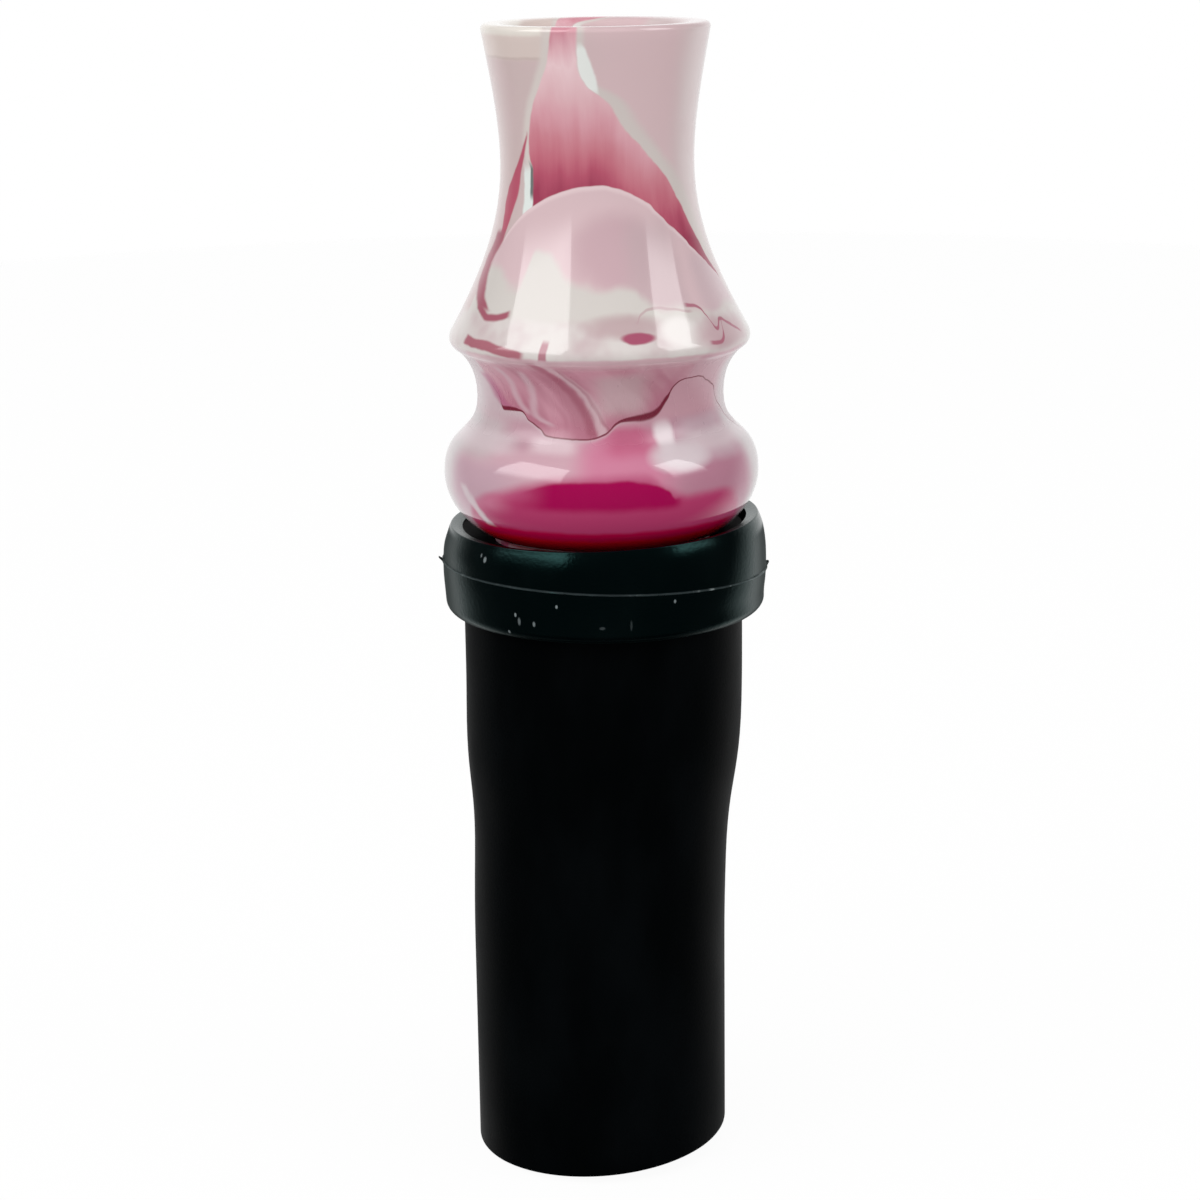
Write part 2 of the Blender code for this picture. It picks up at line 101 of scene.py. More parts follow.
# Insert in the bore, in mm: a plug with two seals, the tone board on its stem, two reeds and a cork
PLUG_R, PLUG_TOP_Z, PLUG_END_Z, PLUG_EDGE = 7.65, TENON_END_Z + 26.0, TENON_END_Z - 3.5, 0.4
PLUG_HOLE_R, PLUG_FLARE, PLUG_CUP_R, PLUG_CUP_Z = 4.9, 1.3, 6.3, TENON_END_Z + 14.0
PLUG_FLANGE_R, PLUG_FLANGE_TOP_Z = 8.7, TENON_END_Z - 0.3
SEAL_HEIGHTS = {"upper_o_ring": TENON_END_Z + 10.5, "lower_o_ring": TENON_END_Z + 5.5}
SEAL_MID_R, SEAL_WIRE_R, SEAL_GROOVE_R, SEAL_GROOVE_HALF = 7.0, 0.75, 5.95, 1.05
BOARD_R, BOARD_FOOT_Z, BOARD_TIP_Z, BOARD_EDGE = 5.9, PLUG_CUP_Z + 0.3, RIM_Z - 11.2, 0.3
BOARD_CURVE_Z, BOARD_TIP_DROP = PLUG_TOP_Z + 6.0, 1.0
STEM_R, STEM_BORE_R, STEM_END_Z = 4.6, 2.16, TENON_END_Z + 0.5
CHANNEL_HALF, CHANNEL_DEPTH, CHANNEL_ENDS_Z = 2.4, 4.2, (PLUG_CUP_Z + 1.5, BOARD_TIP_Z - 3.0)
STEM_BORE_END_Z, STEM_BORE_POINT, STEM_BORE_POINT_R = CHANNEL_ENDS_Z[0] + 1.0, 1.5, 0.5
CUT_REACH, CUT_OVER, FACE_FOOT_Z = 8.0, 2.0, BOARD_FOOT_Z + 0.3
REED_T, REED_HALF, REED_TIP_ROUND, REED_TAIL_Z = 0.3, 5.2, 2.4, PLUG_CUP_Z + 2.5
REEDS = (("long_reed", -0.3, BOARD_TIP_Z - 1.0), ("short_reed", -0.9, BOARD_TIP_Z - 4.0))
CORK_R, CORK_BACK, CORK_ENDS_Z, CORK_EDGE = 6.0, 1.5, (PLUG_CUP_Z + 1.0, PLUG_TOP_Z + 1.4), 0.35

# Camera: where the photograph was taken from
CAMERA_PLACE = Vector((-0.32, -260.0, 125.05)) * MM
CAMERA_PITCH, CAMERA_ROLL = math.radians(14.7), math.radians(0.8)
CAMERA_LENS, CAMERA_SENSOR, CAMERA_SEES = 81.65, 36.0, (0.01, 20.0)

# Finishes, with depths and heights in mm
ACRYLIC_ROUGHNESS, ACRYLIC_IOR, ACRYLIC_GLOSS = (0.05, 0.1), 1.49, 1.0
COVE_WORN_Z, COVE_WEAR = (74.6, 82.4), 0.2
RUBBER_GRAIN_DEPTH = 0.1
COLLAR_SHEEN, COLLAR_EDGE, COLLAR_EDGE_DULL = (0.36, 1.0, 0.95, 1.0), (0.5, 0.9), 0.5
CORK_GRAIN_SCALE, CORK_PORE_DEPTH, CORK_ROUGHNESS = 1.1, 0.2, 0.85

# Studio: a white floor under and behind the object, and the light of the room
FLOOR_R, FLOOR_FRONT, FLOOR_SIDES, FLOOR_RIM = 0.4, 0.035, 96, 0.95
FLOOR_WHITE, FLOOR_ROUGHNESS, FLOOR_GLOW = (0.9, 0.9, 0.9, 1.0), 0.9, 0.95
ROOM_FILL_FRONT, ROOM_FILL_BACK, ROOM_FILL_TOP, ROOM_BEHIND_CAMERA = 0.84, 0.3, 0.6, 0.04
ROOM_FILL_DEPTH, ROOM_FILL_HEIGHT = (-0.7, 0.7), (0.5, 0.95)
ROOM_EDGE, ROOM_LEAN_RIGHT, ROOM_LEAN_UP, ROOM_BELOW = (0.28, 0.9), 0.08, 0.45, (-0.9, -0.5)
SOFTBOX_AWAY, SOFTBOX_AIM_Z, SOFTBOX_RISE = 0.5, 0.085, (12.0, 54.0)
SOFTBOX_GLOW, SOFTBOX_FADE = 2.3, 0.28
SOFTBOXES = (("left_softbox", -58.5, 28.5), ("right_softbox", 70.0, 15.5))

# Flecks on the collar, as (turn in degrees, height in mm, half turn, half height, strength)
COLLAR_FLECKS = [(-46.3, 63.7, 0.6, 0.22, 0.7), (-48.6, 64.0, 0.35, 0.14, 0.5),
                 (-31.9, 59.0, 0.35, 0.16, 0.8), (-30.5, 58.4, 0.45, 0.3, 0.4),
                 (-24.7, 58.3, 0.4, 0.2, 0.6), (-35.1, 57.2, 0.4, 0.14, 0.5),
                 (-16.1, 60.2, 0.35, 0.14, 0.8), (24.8, 60.4, 0.35, 0.14, 0.7),
                 (-0.5, 58.2, 0.8, 0.12, 0.15), (9.4, 58.4, 0.3, 0.4, 0.1)]

# Lines of the marbling, as (turn in degrees, height in mm)
WEDGE_LEFT = [(-39.5, 94.5), (-39.5, 99.6), (-43, 101.3), (-40.5, 104.0), (-37, 105.7), (-30.5, 107.8),
              (-25, 110.1), (-22.5, 112.2)]
WEDGE_RIGHT = [(76, 89.3), (71, 90.7), (61.5, 94.0), (49, 97.8), (39, 99.6), (26, 101.8), (12.5, 104.2),
               (7, 105.8), (0, 106.9), (-5.5, 107.7), (-10, 109.4), (-9.5, 111.8)]
DROP_RIGHT = [(1.5, 106.8), (0.5, 107.8), (-1.5, 108.9), (-4.2, 110.1), (-7, 111.3)]
SLIVER_LEFT = [(-64, 92.7), (-65.5, 95.0), (-64.5, 97.2), (-59, 98.9), (-51.5, 100.8), (-44, 103.0)]
SLIVER_RIGHT = [(-62, 92.8), (-57, 95.4), (-52, 97.8), (-49.5, 99.8), (-43, 103.1)]
DOME_EDGE = [(-72.5, 87.0), (-69, 90.0), (-63.5, 92.2), (-53.5, 94.6), (-40, 96.4), (-18.5, 98.0),
             (-1, 98.45), (10, 98.2), (20, 97.55), (30, 96.5), (44, 94.35), (59, 91.9), (68.5, 90.3),
             (77, 88.7), (79, 86.5)]
DOME_WHITE = [(-73, 90.7), (-55.5, 90.2), (-41, 89.4), (-32, 92.3), (-20.5, 91.2), (-9.5, 89.7), (3, 89.5),
              (10, 89.9), (20, 88.5), (31.5, 87.0), (74.5, 86.7)]
SEAM = [(-58, 86.9), (-68, 88.6), (-71.5, 90.6), (-66.5, 92.8), (-65, 93.9)]
HOOK = [(-64, 87.2), (-57, 86.6), (-50.5, 86.3), (-45, 86.5), (-41, 86.8)]
DASH = [(-62.5, 84.1), (-44.5, 83.8), (-30, 83.2)]
TICK = [(-21.5, 82.4), (-21.0, 84.7)]
SQUIGGLE_DOWN = [(39.5, 87.5), (46, 87.2), (49.5, 86.2), (52.5, 85.0), (57.5, 85.8), (61, 85.4), (70, 84.3)]
SQUIGGLE_FOOT = [(46.5, 84.0), (51.5, 83.9), (55.5, 84.4), (57.5, 85.6)]
LOOP = [(15.5, 86.3), (19, 87.2), (23.5, 87.5), (32.5, 87.2), (42, 86.9)]
CRACK = [(-60, 80.6), (-52, 78.4), (-49, 77.7), (-40, 77.7), (-34.5, 76.9), (-29, 76.3), (-22, 75.5),
         (-8, 75.4), (1, 75.8), (9, 77.0), (23, 77.4), (31, 78.9), (41, 80.6), (60, 79.5), (69, 77.2),
         (79, 75.6), (88, 74.0)]
SWIRL = [(-3.5, 75.6), (-4, 76.4), (-6, 77.6), (-10, 79.0), (-15.5, 80.4), (-21, 81.5), (-27, 82.6)]
SWIRL_RIGHT = [(4, 76.0), (1.5, 76.9), (-2, 78.1), (-8, 79.9), (-14, 81.2), (-18, 82.1)]
VEILS = ([(-34.5, 77.5), (-41, 79.1), (-42.5, 80.5), (-48, 81.7)],
         [(-23, 76.5), (-31.5, 77.9), (-32, 80.0), (-35, 81.6)])
POCKET_EDGE = [(-47, 77.8), (-52, 78.5), (-56, 79.6), (-61, 80.8)]
LENS_TOP = [(-37, 69.3), (-25.5, 71.1), (-14.5, 71.8), (-0.5, 71.95), (13.5, 71.8), (22, 71.2), (26.5, 70.0)]
BLUSH_TOP = [(-60, 67.0), (-54, 68.7), (-48.5, 69.5), (-43, 70.1), (-35, 70.8), (-26.5, 71.5), (-13, 72.2),
             (14, 72.3), (24, 71.0), (32.5, 70.2), (45.5, 70.1), (56, 69.0), (62, 67.2)]
BEAD_STREAK = [(-45.5, 66.3), (-50.5, 67.8), (-55, 69.2), (-59, 70.4)]
LINE_END_TURN, LINE_END_HEIGHT = 1.5, 0.3

# Half the width of the crack, as (turn in degrees, mm)
CRACK_WIDTH = [(-60, 0.02), (-52, 0.04), (-48, 0.2), (-42, 0.16), (-36, 0.08), (-10, 0.07), (4, 0.1),
               (14, 0.24), (26, 0.32), (33, 0.14), (42, 0.05), (68, 0.07), (88, 0.06)]

# Shades of the wedge, as (height in mm, display colour)
WEDGE_SHADES = [(97.3, (156, 64, 88)), (99.2, (178, 84, 106)), (100.7, (192, 108, 124)),
                (102.7, (202, 131, 143)), (104.8, (214, 158, 168)), (107.0, (222, 181, 187)),
                (109.2, (232, 200, 204)), (110.8, (222, 176, 184)), (112.6, (204, 142, 154))]

# How the marbling is bent at the back, in degrees and mm, and rippled all round
BACK_FROM, BACK_SWAY, BACK_LIFT = (86.0, 118.0), 150.0, 16.0
RIPPLE_TURN, RIPPLE_HEIGHT = 3.0, 0.35


def paint(red, green, blue):
    """A display colour, 0 to 255, as the linear colour that shaders take."""
    parts = [channel / 255 for channel in (red, green, blue)]
    linear = [p / 12.92 if p <= 0.04045 else ((p + 0.055) / 1.055) ** 2.4 for p in parts]
    return (*linear, 1.0)


def start_clean():
    """Leave nothing selected, so that an operator touches only what is made next."""
    bpy.ops.object.select_all(action="DESELECT")


def draw_outline(name, start, strokes, plane="XZ"):
    """A closed outline in mm on a plane: a stroke is an end point, or two pulls and an end point."""
    def spot(point):
        given = dict(zip(plane, point))
        return Vector([given.get(axis, 0.0) for axis in "XYZ"]) * MM

    start_clean()
    bpy.ops.curve.primitive_bezier_curve_add()
    outline = bpy.context.object
    outline.name = name
    outline.data.resolution_u = CURVE_STEPS
    spline = outline.data.splines[0]
    spline.use_cyclic_u = True
    spline.bezier_points.add(len(strokes) - 2)
    knots = [start] + [stroke[-1] for stroke in strokes[:-1]]
    for knot, point in zip(spline.bezier_points, knots):
        knot.co = spot(point)
        knot.handle_left_type = knot.handle_right_type = "VECTOR"
    for index, stroke in enumerate(strokes):
        if len(stroke) == 1:
            continue
        leaving = spline.bezier_points[index]
        arriving = spline.bezier_points[(index + 1) % len(strokes)]
        leaving.handle_right_type = arriving.handle_left_type = "FREE"
        leaving.handle_right, arriving.handle_left = spot(stroke[0]), spot(stroke[1])
    return outline


def round_stroke(start, corner, end):
    """A quarter round from start to end, bulging towards the corner."""
    pulls = [tuple(a + ROUND_PULL * (c - a) for a, c in zip(point, corner)) for point in (start, end)]
    return (*pulls, end)


def beside(point, step):
    """The place that lies a step out and up from a point."""
    return (point[0] + step[0], point[1] + step[1])


def arc_stroke(radius, start, end):
    """A stroke along a circle about the middle, between two angles in degrees."""
    pull = radius * 4 / 3 * math.tan(math.radians(end - start) / 4)
    spots = []
    for angle, way in ((start, 1), (end, -1)):
        across, up = math.cos(math.radians(angle)), math.sin(math.radians(angle))
        spots.append((radius * across - way * pull * up, radius * up + way * pull * across))
    return (*spots, (radius * math.cos(math.radians(end)), radius * math.sin(math.radians(end))))


def push_outline(outline, way, low, high):
    """Fill the outline and draw it out along an axis, from one place to another in mm."""
    axis = Vector([float(letter == way) for letter in "XYZ"])
    bpy.ops.object.convert(target="MESH")
    bpy.ops.object.mode_set(mode="EDIT")
    bpy.ops.mesh.select_all(action="SELECT")
    bpy.ops.mesh.remove_doubles(threshold=WELD)
    bpy.ops.mesh.edge_face_add()
    bpy.ops.transform.translate(value=axis * low * MM)
    bpy.ops.mesh.extrude_region_move(TRANSFORM_OT_translate={"value": axis * (high - low) * MM})
    bpy.ops.mesh.select_all(action="SELECT")
    bpy.ops.mesh.normals_make_consistent(inside=False)
    bpy.ops.object.mode_set(mode="OBJECT")
    outline.data.name = outline.name
    return outline


def carve(piece, cutter):
    """Cut one shape out of a piece and throw the cutter away."""
    start_clean()
    piece.select_set(True)
    bpy.context.view_layer.objects.active = piece
    bpy.ops.object.modifier_add(type="BOOLEAN")
    cut = piece.modifiers[-1]
    cut.operation, cut.solver, cut.object = "DIFFERENCE", "EXACT", cutter
    bpy.ops.object.modifier_apply(modifier=cut.name)
    bpy.data.objects.remove(cutter)


def spin_outline(outline):
    """Turn the outline once round Z into a closed mesh that faces outwards."""
    bpy.ops.object.convert(target="MESH")
    bpy.ops.object.mode_set(mode="EDIT")
    bpy.ops.mesh.select_all(action="SELECT")
    bpy.ops.mesh.remove_doubles(threshold=WELD)
    bpy.ops.mesh.spin(steps=TURN_STEPS, angle=2 * math.pi, center=(0, 0, 0), axis=(0, 0, 1))
    bpy.ops.mesh.select_all(action="SELECT")
    bpy.ops.mesh.remove_doubles(threshold=WELD)
    bpy.ops.mesh.normals_make_consistent(inside=False)
    bpy.ops.mesh.select_all(action="DESELECT")
    bpy.ops.object.mode_set(mode="OBJECT")
    outline.data.name = outline.name
    return outline


def pick(piece, kind, wanted):
    """Select, in edit mode, the vertices, edges or faces whose middles, in mm, pass a test."""
    bpy.ops.object.mode_set(mode="EDIT")
    bpy.ops.mesh.select_mode(type=kind)
    bpy.ops.mesh.select_all(action="DESELECT")
    bpy.ops.object.mode_set(mode="OBJECT")
    mesh = piece.data
    group = {"VERT": mesh.vertices, "EDGE": mesh.edges, "FACE": mesh.polygons}[kind]
    for element in group:
        corners = [element.co] if kind == "VERT" else [mesh.vertices[i].co for i in element.vertices]
        middle = sum(corners, Vector()) / len(corners) / MM
        element.select = bool(wanted(middle))
    bpy.ops.object.mode_set(mode="EDIT")


def finish_piece(piece, material, angle=35):
    """Shade a piece smooth between its sharp edges and give it its material."""
    if piece.mode == "EDIT":
        bpy.ops.object.mode_set(mode="OBJECT")
    start_clean()
    piece.select_set(True)
    bpy.context.view_layer.objects.active = piece
    bpy.ops.object.shade_smooth_by_angle(angle=math.radians(angle))
    piece.data.materials.clear()
    piece.data.materials.append(material)
    return piece


def grip_groove(height):
    """One shallow rounded groove round the tenon, going down."""
    top, foot = (TENON_R, height + GRIP_HALF), (TENON_R, height - GRIP_HALF)
    floor = (TENON_R - GRIP_DEPTH, height)
    return [
        (top,),
        round_stroke(top, (floor[0], top[1]), floor),
        round_stroke(floor, (floor[0], foot[1]), foot),
    ]


def make_mouthpiece(material):
    """The turned acrylic: lip, waist, flange, cove and bead, with the tenon below and the bore inside."""
    rim, lip, lip_side = (RIM_R, RIM_Z), (RIM_R - LIP_ROUND, RIM_Z), (RIM_R, RIM_Z - LIP_ROUND)
    lip_inner, lip_inside = (LIP_INNER_R, RIM_Z), (LIP_INNER_R, RIM_Z - LIP_INNER_ROUND)
    waist, cove, bead = (WAIST_R, WAIST_Z), (COVE_R, COVE_Z), (BEAD_R, BEAD_Z)
    flange, shoulder, mouth = (FLANGE_R, FLANGE_Z), (SHOULDER_R, SHOULDER_Z), (MOUTH_BORE_R, MOUTH_FLARE_Z)
    flange_top, flange_under = beside(flange, FLANGE_TOP), beside(flange, FLANGE_UNDER)
    strokes = [
        round_stroke(lip, rim, lip_side),
        (beside(rim, RIM_PULL), beside(waist, WAIST_PULL_UP), waist),
        (beside(waist, WAIST_PULL_DOWN), beside(flange_top, FLANGE_TOP_PULL), flange_top),
        (beside(flange, FLANGE_PULL_UP), beside(flange, FLANGE_PULL_DOWN), flange_under),
        (beside(flange_under, FLANGE_UNDER_PULL), beside(cove, COVE_PULL_UP), cove),
        (beside(cove, COVE_PULL_DOWN), beside(bead, BEAD_PULL_UP), bead),
        (beside(bead, BEAD_PULL_DOWN), beside(shoulder, SHOULDER_PULL), shoulder),
        ((TENON_R, SHOULDER_Z),),
    ]
    for groove in range(GRIP_GROOVES, 0, -1):
        strokes += grip_groove(TENON_END_Z + groove * GRIP_PITCH)
    strokes += [
        ((TENON_R, TENON_END_Z + TENON_CHAMFER),),
        ((TENON_R - TENON_CHAMFER, TENON_END_Z),),
        ((PLUG_BORE_R, TENON_END_Z),),
        ((PLUG_BORE_R, PLUG_BORE_TOP_Z),),
        ((MOUTH_BORE_R, PLUG_BORE_TOP_Z + PLUG_BORE_R - MOUTH_BORE_R),),
        (mouth,),
        (beside(mouth, MOUTH_PULL), beside(lip_inner, LIP_INNER_PULL), lip_inside),
        round_stroke(lip_inside, lip_inner, (LIP_INNER_R + LIP_INNER_ROUND, RIM_Z)),
        (lip,),
    ]
    piece = spin_outline(draw_outline("acrylic_mouthpiece", lip, strokes))
    return finish_piece(piece, material)


def make_collar(material):
    """The moulded ring: flat top with a sharp edge, barrel shoulder, a thin fin of flash, straight band."""
    inner_top = (COLLAR_BORE_R, COLLAR_TOP - COLLAR_DISH)
    top_edge = (COLLAR_TOP_R - COLLAR_TOP_EDGE, COLLAR_TOP)
    shoulder = (COLLAR_SHOULDER_R, COLLAR_TOP - COLLAR_TOP_EDGE)
    band_foot = (COLLAR_BAND_FOOT_R, COLLAR_BOTTOM + COLLAR_CORNER)
    foot = (COLLAR_BAND_FOOT_R - COLLAR_CORNER, COLLAR_BOTTOM)
    strokes = [
        (top_edge,),
        round_stroke(top_edge, (COLLAR_TOP_R, COLLAR_TOP), shoulder),
        (*COLLAR_BARREL_PULLS, (COLLAR_BAND_R, COLLAR_FIN_ROOT)),
        ((COLLAR_FLASH_R, COLLAR_FIN_TIP),),
        ((COLLAR_FLASH_R, -COLLAR_FIN_TIP),),
        ((COLLAR_BAND_R, -COLLAR_FIN_ROOT),),
        (*COLLAR_BAND_PULLS, band_foot),
        round_stroke(band_foot, (COLLAR_BAND_FOOT_R, COLLAR_BOTTOM), foot),
        ((COLLAR_BORE_R, COLLAR_BOTTOM),),
        (inner_top,),
    ]
    ring = spin_outline(draw_outline("moulded_collar", inner_top, strokes))
    slope_ring(ring, lambda v: v.z > COLLAR_TOP - COLLAR_TOP_DEEP, COLLAR_TOP, "Y", COLLAR_TOP_LIFT)
    for axis, slope in (("Y", COLLAR_FLASH_DROP), ("X", COLLAR_FLASH_NOD)):
        slope_ring(ring, on_flash, 0.0, axis, slope)
    roughen_flash(ring)
    for turn, reach in COLLAR_NIBS:
        pull_nib(ring, turn, reach)
    bpy.ops.object.mode_set(mode="OBJECT")
    ring.location = Vector((COLLAR_OFF_CENTRE, 0.0, COLLAR_FLASH_Z)) * MM
    start_clean()
    ring.select_set(True)
    bpy.ops.object.transform_apply(location=True, rotation=True, scale=True)
    return finish_piece(ring, material)


def on_flash(middle):
    """Whether a point of the collar belongs to the fin of flash."""
    return math.hypot(middle.x, middle.y) > COLLAR_BAND_R - FLASH_NEAR and abs(middle.z) < FLASH_REACH


def slope_ring(ring, wanted, height, axis, slope):
    """Lean one part of the ring, up at the right or at the front, and draw its neighbours with it."""
    pick(ring, "VERT", wanted)
    bpy.ops.transform.rotate(value=slope, orient_axis=axis, center_override=(0, 0, height * MM),
                             use_proportional_edit=True, proportional_edit_falloff="SMOOTH",
                             proportional_size=COLLAR_SLOPE_REACH * MM)


def roughen_flash(ring):
    """Make the edge of the flash uneven, as torn rubber is."""
    pick(ring, "VERT", lambda v: math.hypot(v.x, v.y) > COLLAR_FLASH_R - FLASH_NEAR)
    bpy.ops.transform.vertex_random(offset=FLASH_ROUGH * MM, uniform=0.6, normal=0.0, seed=4)


def pull_nib(ring, turn, reach):
    """Draw a small torn nib up and out of the flash, at a turn in degrees from the front, right positive."""
    way = Vector((math.sin(math.radians(turn)), -math.cos(math.radians(turn)), 0.0))
    spot = way * COLLAR_FLASH_R

    def on_nib(middle):
        at_edge = math.hypot(middle.x, middle.y) > COLLAR_FLASH_R - 2 * FLASH_NEAR
        return at_edge and Vector((middle.x - spot.x, middle.y - spot.y)).length < NIB_HALF

    pick(ring, "FACE", on_nib)
    step = (way + Vector((0.0, 0.0, NIB_RISE))) * reach * MM
    bpy.ops.mesh.extrude_region_move(TRANSFORM_OT_translate={"value": step})
    bpy.ops.transform.resize(value=(NIB_TAPER, NIB_TAPER, 1.0))


def make_tube(material):
    """The rubber tube: swollen over the tenon, necked below it, leaning a little and cut off by hand."""
    outer_mid = (TUBE_NECK_TOP_Z + TUBE_NECK_END_Z) / 2
    bore_mid = (TUBE_BORE_NECK_TOP_Z + TUBE_BORE_NECK_END_Z) / 2
    outer_top, bore_top = (TUBE_SWELL_R, TUBE_TOP_Z + TUBE_TOP_CURL), (TUBE_SWELL_BORE_R, TUBE_TOP_Z)
    swell_pulls = (TUBE_TOP_Z - TUBE_SWELL_PULL, TUBE_NECK_TOP_Z + TUBE_SWELL_PULL)
    upper_pull, lower_pull = TUBE_PULLS_Z
    spare_end = -TUBE_SPARE
    strokes = [
        tuple((TUBE_SWELL_R, height) for height in (*swell_pulls, TUBE_NECK_TOP_Z)),
        ((TUBE_SWELL_R, outer_mid), (TUBE_R, outer_mid), (TUBE_R, TUBE_NECK_END_Z)),
        ((TUBE_R, upper_pull), (TUBE_R, lower_pull), (TUBE_R, TUBE_CUT_CLEAR_Z)),
        ((TUBE_R, spare_end),),
        ((TUBE_BORE_R, spare_end),),
        ((TUBE_BORE_R, TUBE_CUT_CLEAR_Z),),
        ((TUBE_BORE_R, lower_pull), (TUBE_BORE_R, upper_pull), (TUBE_BORE_R, TUBE_BORE_NECK_END_Z)),
        ((TUBE_BORE_R, bore_mid), (TUBE_SWELL_BORE_R, bore_mid), (TUBE_SWELL_BORE_R, TUBE_BORE_NECK_TOP_Z)),
        (bore_top,),
        (outer_top,),
    ]
    tube = spin_outline(draw_outline("rubber_tube", outer_top, strokes))
    pick(tube, "VERT", lambda v: v.z < TUBE_LEAN_FROM_Z)
    bpy.ops.transform.translate(value=(TUBE_LEAN * MM, 0, 0), use_proportional_edit=True,
                                proportional_edit_falloff="SMOOTH", proportional_size=TUBE_LEAN_REACH * MM)
    cut_tube_end(tube)
    return finish_piece(tube, material)


def cut_tube_end(tube):
    """Slice the spare length off at a slant, close the wall's end and take its edges off."""
    lowest = Vector((TUBE_LEAN - TUBE_R, 0, 0)) * MM
    up = Vector((-math.sin(TUBE_CUT_SLOPE), 0, math.cos(TUBE_CUT_SLOPE)))
    bpy.ops.mesh.select_all(action="SELECT")
    bpy.ops.mesh.bisect(plane_co=lowest, plane_no=up, clear_inner=True, use_fill=False)
    bpy.ops.mesh.select_mode(type="EDGE")
    bpy.ops.mesh.select_all(action="DESELECT")
    bpy.ops.mesh.select_non_manifold()
    bpy.ops.mesh.bridge_edge_loops()
    pick(tube, "EDGE", lambda m: abs((m * MM - lowest).dot(up)) < TOUCH * MM and on_tube_rim(m))
    bpy.ops.mesh.bevel(offset=TUBE_CUT_EDGE * MM, segments=4, affect="EDGES")
    bpy.ops.mesh.select_all(action="SELECT")
    bpy.ops.mesh.normals_make_consistent(inside=False)


def on_tube_rim(middle):
    """Whether a point of the cut end lies on the rim of the wall, outer or inner."""
    radius = math.hypot(middle.x - TUBE_LEAN, middle.y)
    return min(abs(radius - TUBE_R), abs(radius - TUBE_BORE_R)) < TUBE_RIM_NEAR


def make_plug(material):
    """The turned plug: a cup on top, two seal grooves, a stop flange below and a flared outlet."""
    top = (PLUG_R - PLUG_EDGE, PLUG_TOP_Z)
    flange_edge = (PLUG_FLANGE_R - PLUG_EDGE, PLUG_FLANGE_TOP_Z)
    flange_side = (PLUG_FLANGE_R, PLUG_FLANGE_TOP_Z - PLUG_EDGE)
    flange_foot = (PLUG_FLANGE_R, PLUG_END_Z + PLUG_EDGE)
    outlet = (PLUG_HOLE_R, PLUG_END_Z + 2 * PLUG_FLARE)
    strokes = [round_stroke(top, (PLUG_R, PLUG_TOP_Z), (PLUG_R, PLUG_TOP_Z - PLUG_EDGE))]
    for height in SEAL_HEIGHTS.values():
        upper, lower = height + SEAL_GROOVE_HALF, height - SEAL_GROOVE_HALF
        strokes += [((PLUG_R, upper),), ((SEAL_GROOVE_R, upper),)]
        strokes += [((SEAL_GROOVE_R, lower),), ((PLUG_R, lower),)]
    strokes += [
        ((PLUG_R, PLUG_FLANGE_TOP_Z),),
        (flange_edge,),
        round_stroke(flange_edge, (PLUG_FLANGE_R, PLUG_FLANGE_TOP_Z), flange_side),
        (flange_foot,),
        round_stroke(flange_foot, (PLUG_FLANGE_R, PLUG_END_Z), (PLUG_FLANGE_R - PLUG_EDGE, PLUG_END_Z)),
        ((PLUG_HOLE_R + PLUG_FLARE, PLUG_END_Z),),
        round_stroke((PLUG_HOLE_R + PLUG_FLARE, PLUG_END_Z), (PLUG_HOLE_R, PLUG_END_Z), outlet),
        ((PLUG_HOLE_R, PLUG_CUP_Z),),
        ((PLUG_CUP_R, PLUG_CUP_Z),),
        ((PLUG_CUP_R, PLUG_TOP_Z - PLUG_EDGE),),
        ((PLUG_CUP_R + PLUG_EDGE, PLUG_TOP_Z),),
        (top,),
    ]
    return finish_piece(spin_outline(draw_outline("turned_plug", top, strokes)), material)


def make_seal(name, height, material):
    """A rubber ring of round section in its groove."""
    middle = Vector((SEAL_MID_R, height))
    sides = [tuple(middle + SEAL_WIRE_R * Vector(way)) for way in ((1, 0), (0, 1), (-1, 0), (0, -1))]
    corners = [tuple(middle + SEAL_WIRE_R * Vector(way)) for way in ((1, 1), (-1, 1), (-1, -1), (1, -1))]
    strokes = [round_stroke(*spots) for spots in zip(sides, corners, sides[1:] + sides[:1])]
    return finish_piece(spin_outline(draw_outline(name, sides[0], strokes)), material)


def make_tone_board(material):
    """A turned blank with a bored stem, its front cut off to a face, and the sound channel cut along it."""
    foot, tip = (STEM_BORE_R, STEM_END_Z), (BOARD_R - BOARD_EDGE, BOARD_TIP_Z)
    blank = [
        ((STEM_R - BOARD_EDGE, STEM_END_Z),),
        ((STEM_R, STEM_END_Z + BOARD_EDGE),),
        ((STEM_R, BOARD_FOOT_Z),),
        ((BOARD_R, BOARD_FOOT_Z),),
        ((BOARD_R, BOARD_TIP_Z - BOARD_EDGE),),
        round_stroke((BOARD_R, BOARD_TIP_Z - BOARD_EDGE), (BOARD_R, BOARD_TIP_Z), tip),
        ((STEM_BORE_POINT_R, BOARD_TIP_Z),),
        ((STEM_BORE_POINT_R, STEM_BORE_END_Z + STEM_BORE_POINT),),
        ((STEM_BORE_R, STEM_BORE_END_Z),),
        (foot,),
    ]
    board = spin_outline(draw_outline("carved_tone_board", foot, blank))
    carve(board, face_cutter())
    carve(board, channel_cutter())
    return finish_piece(board, material)


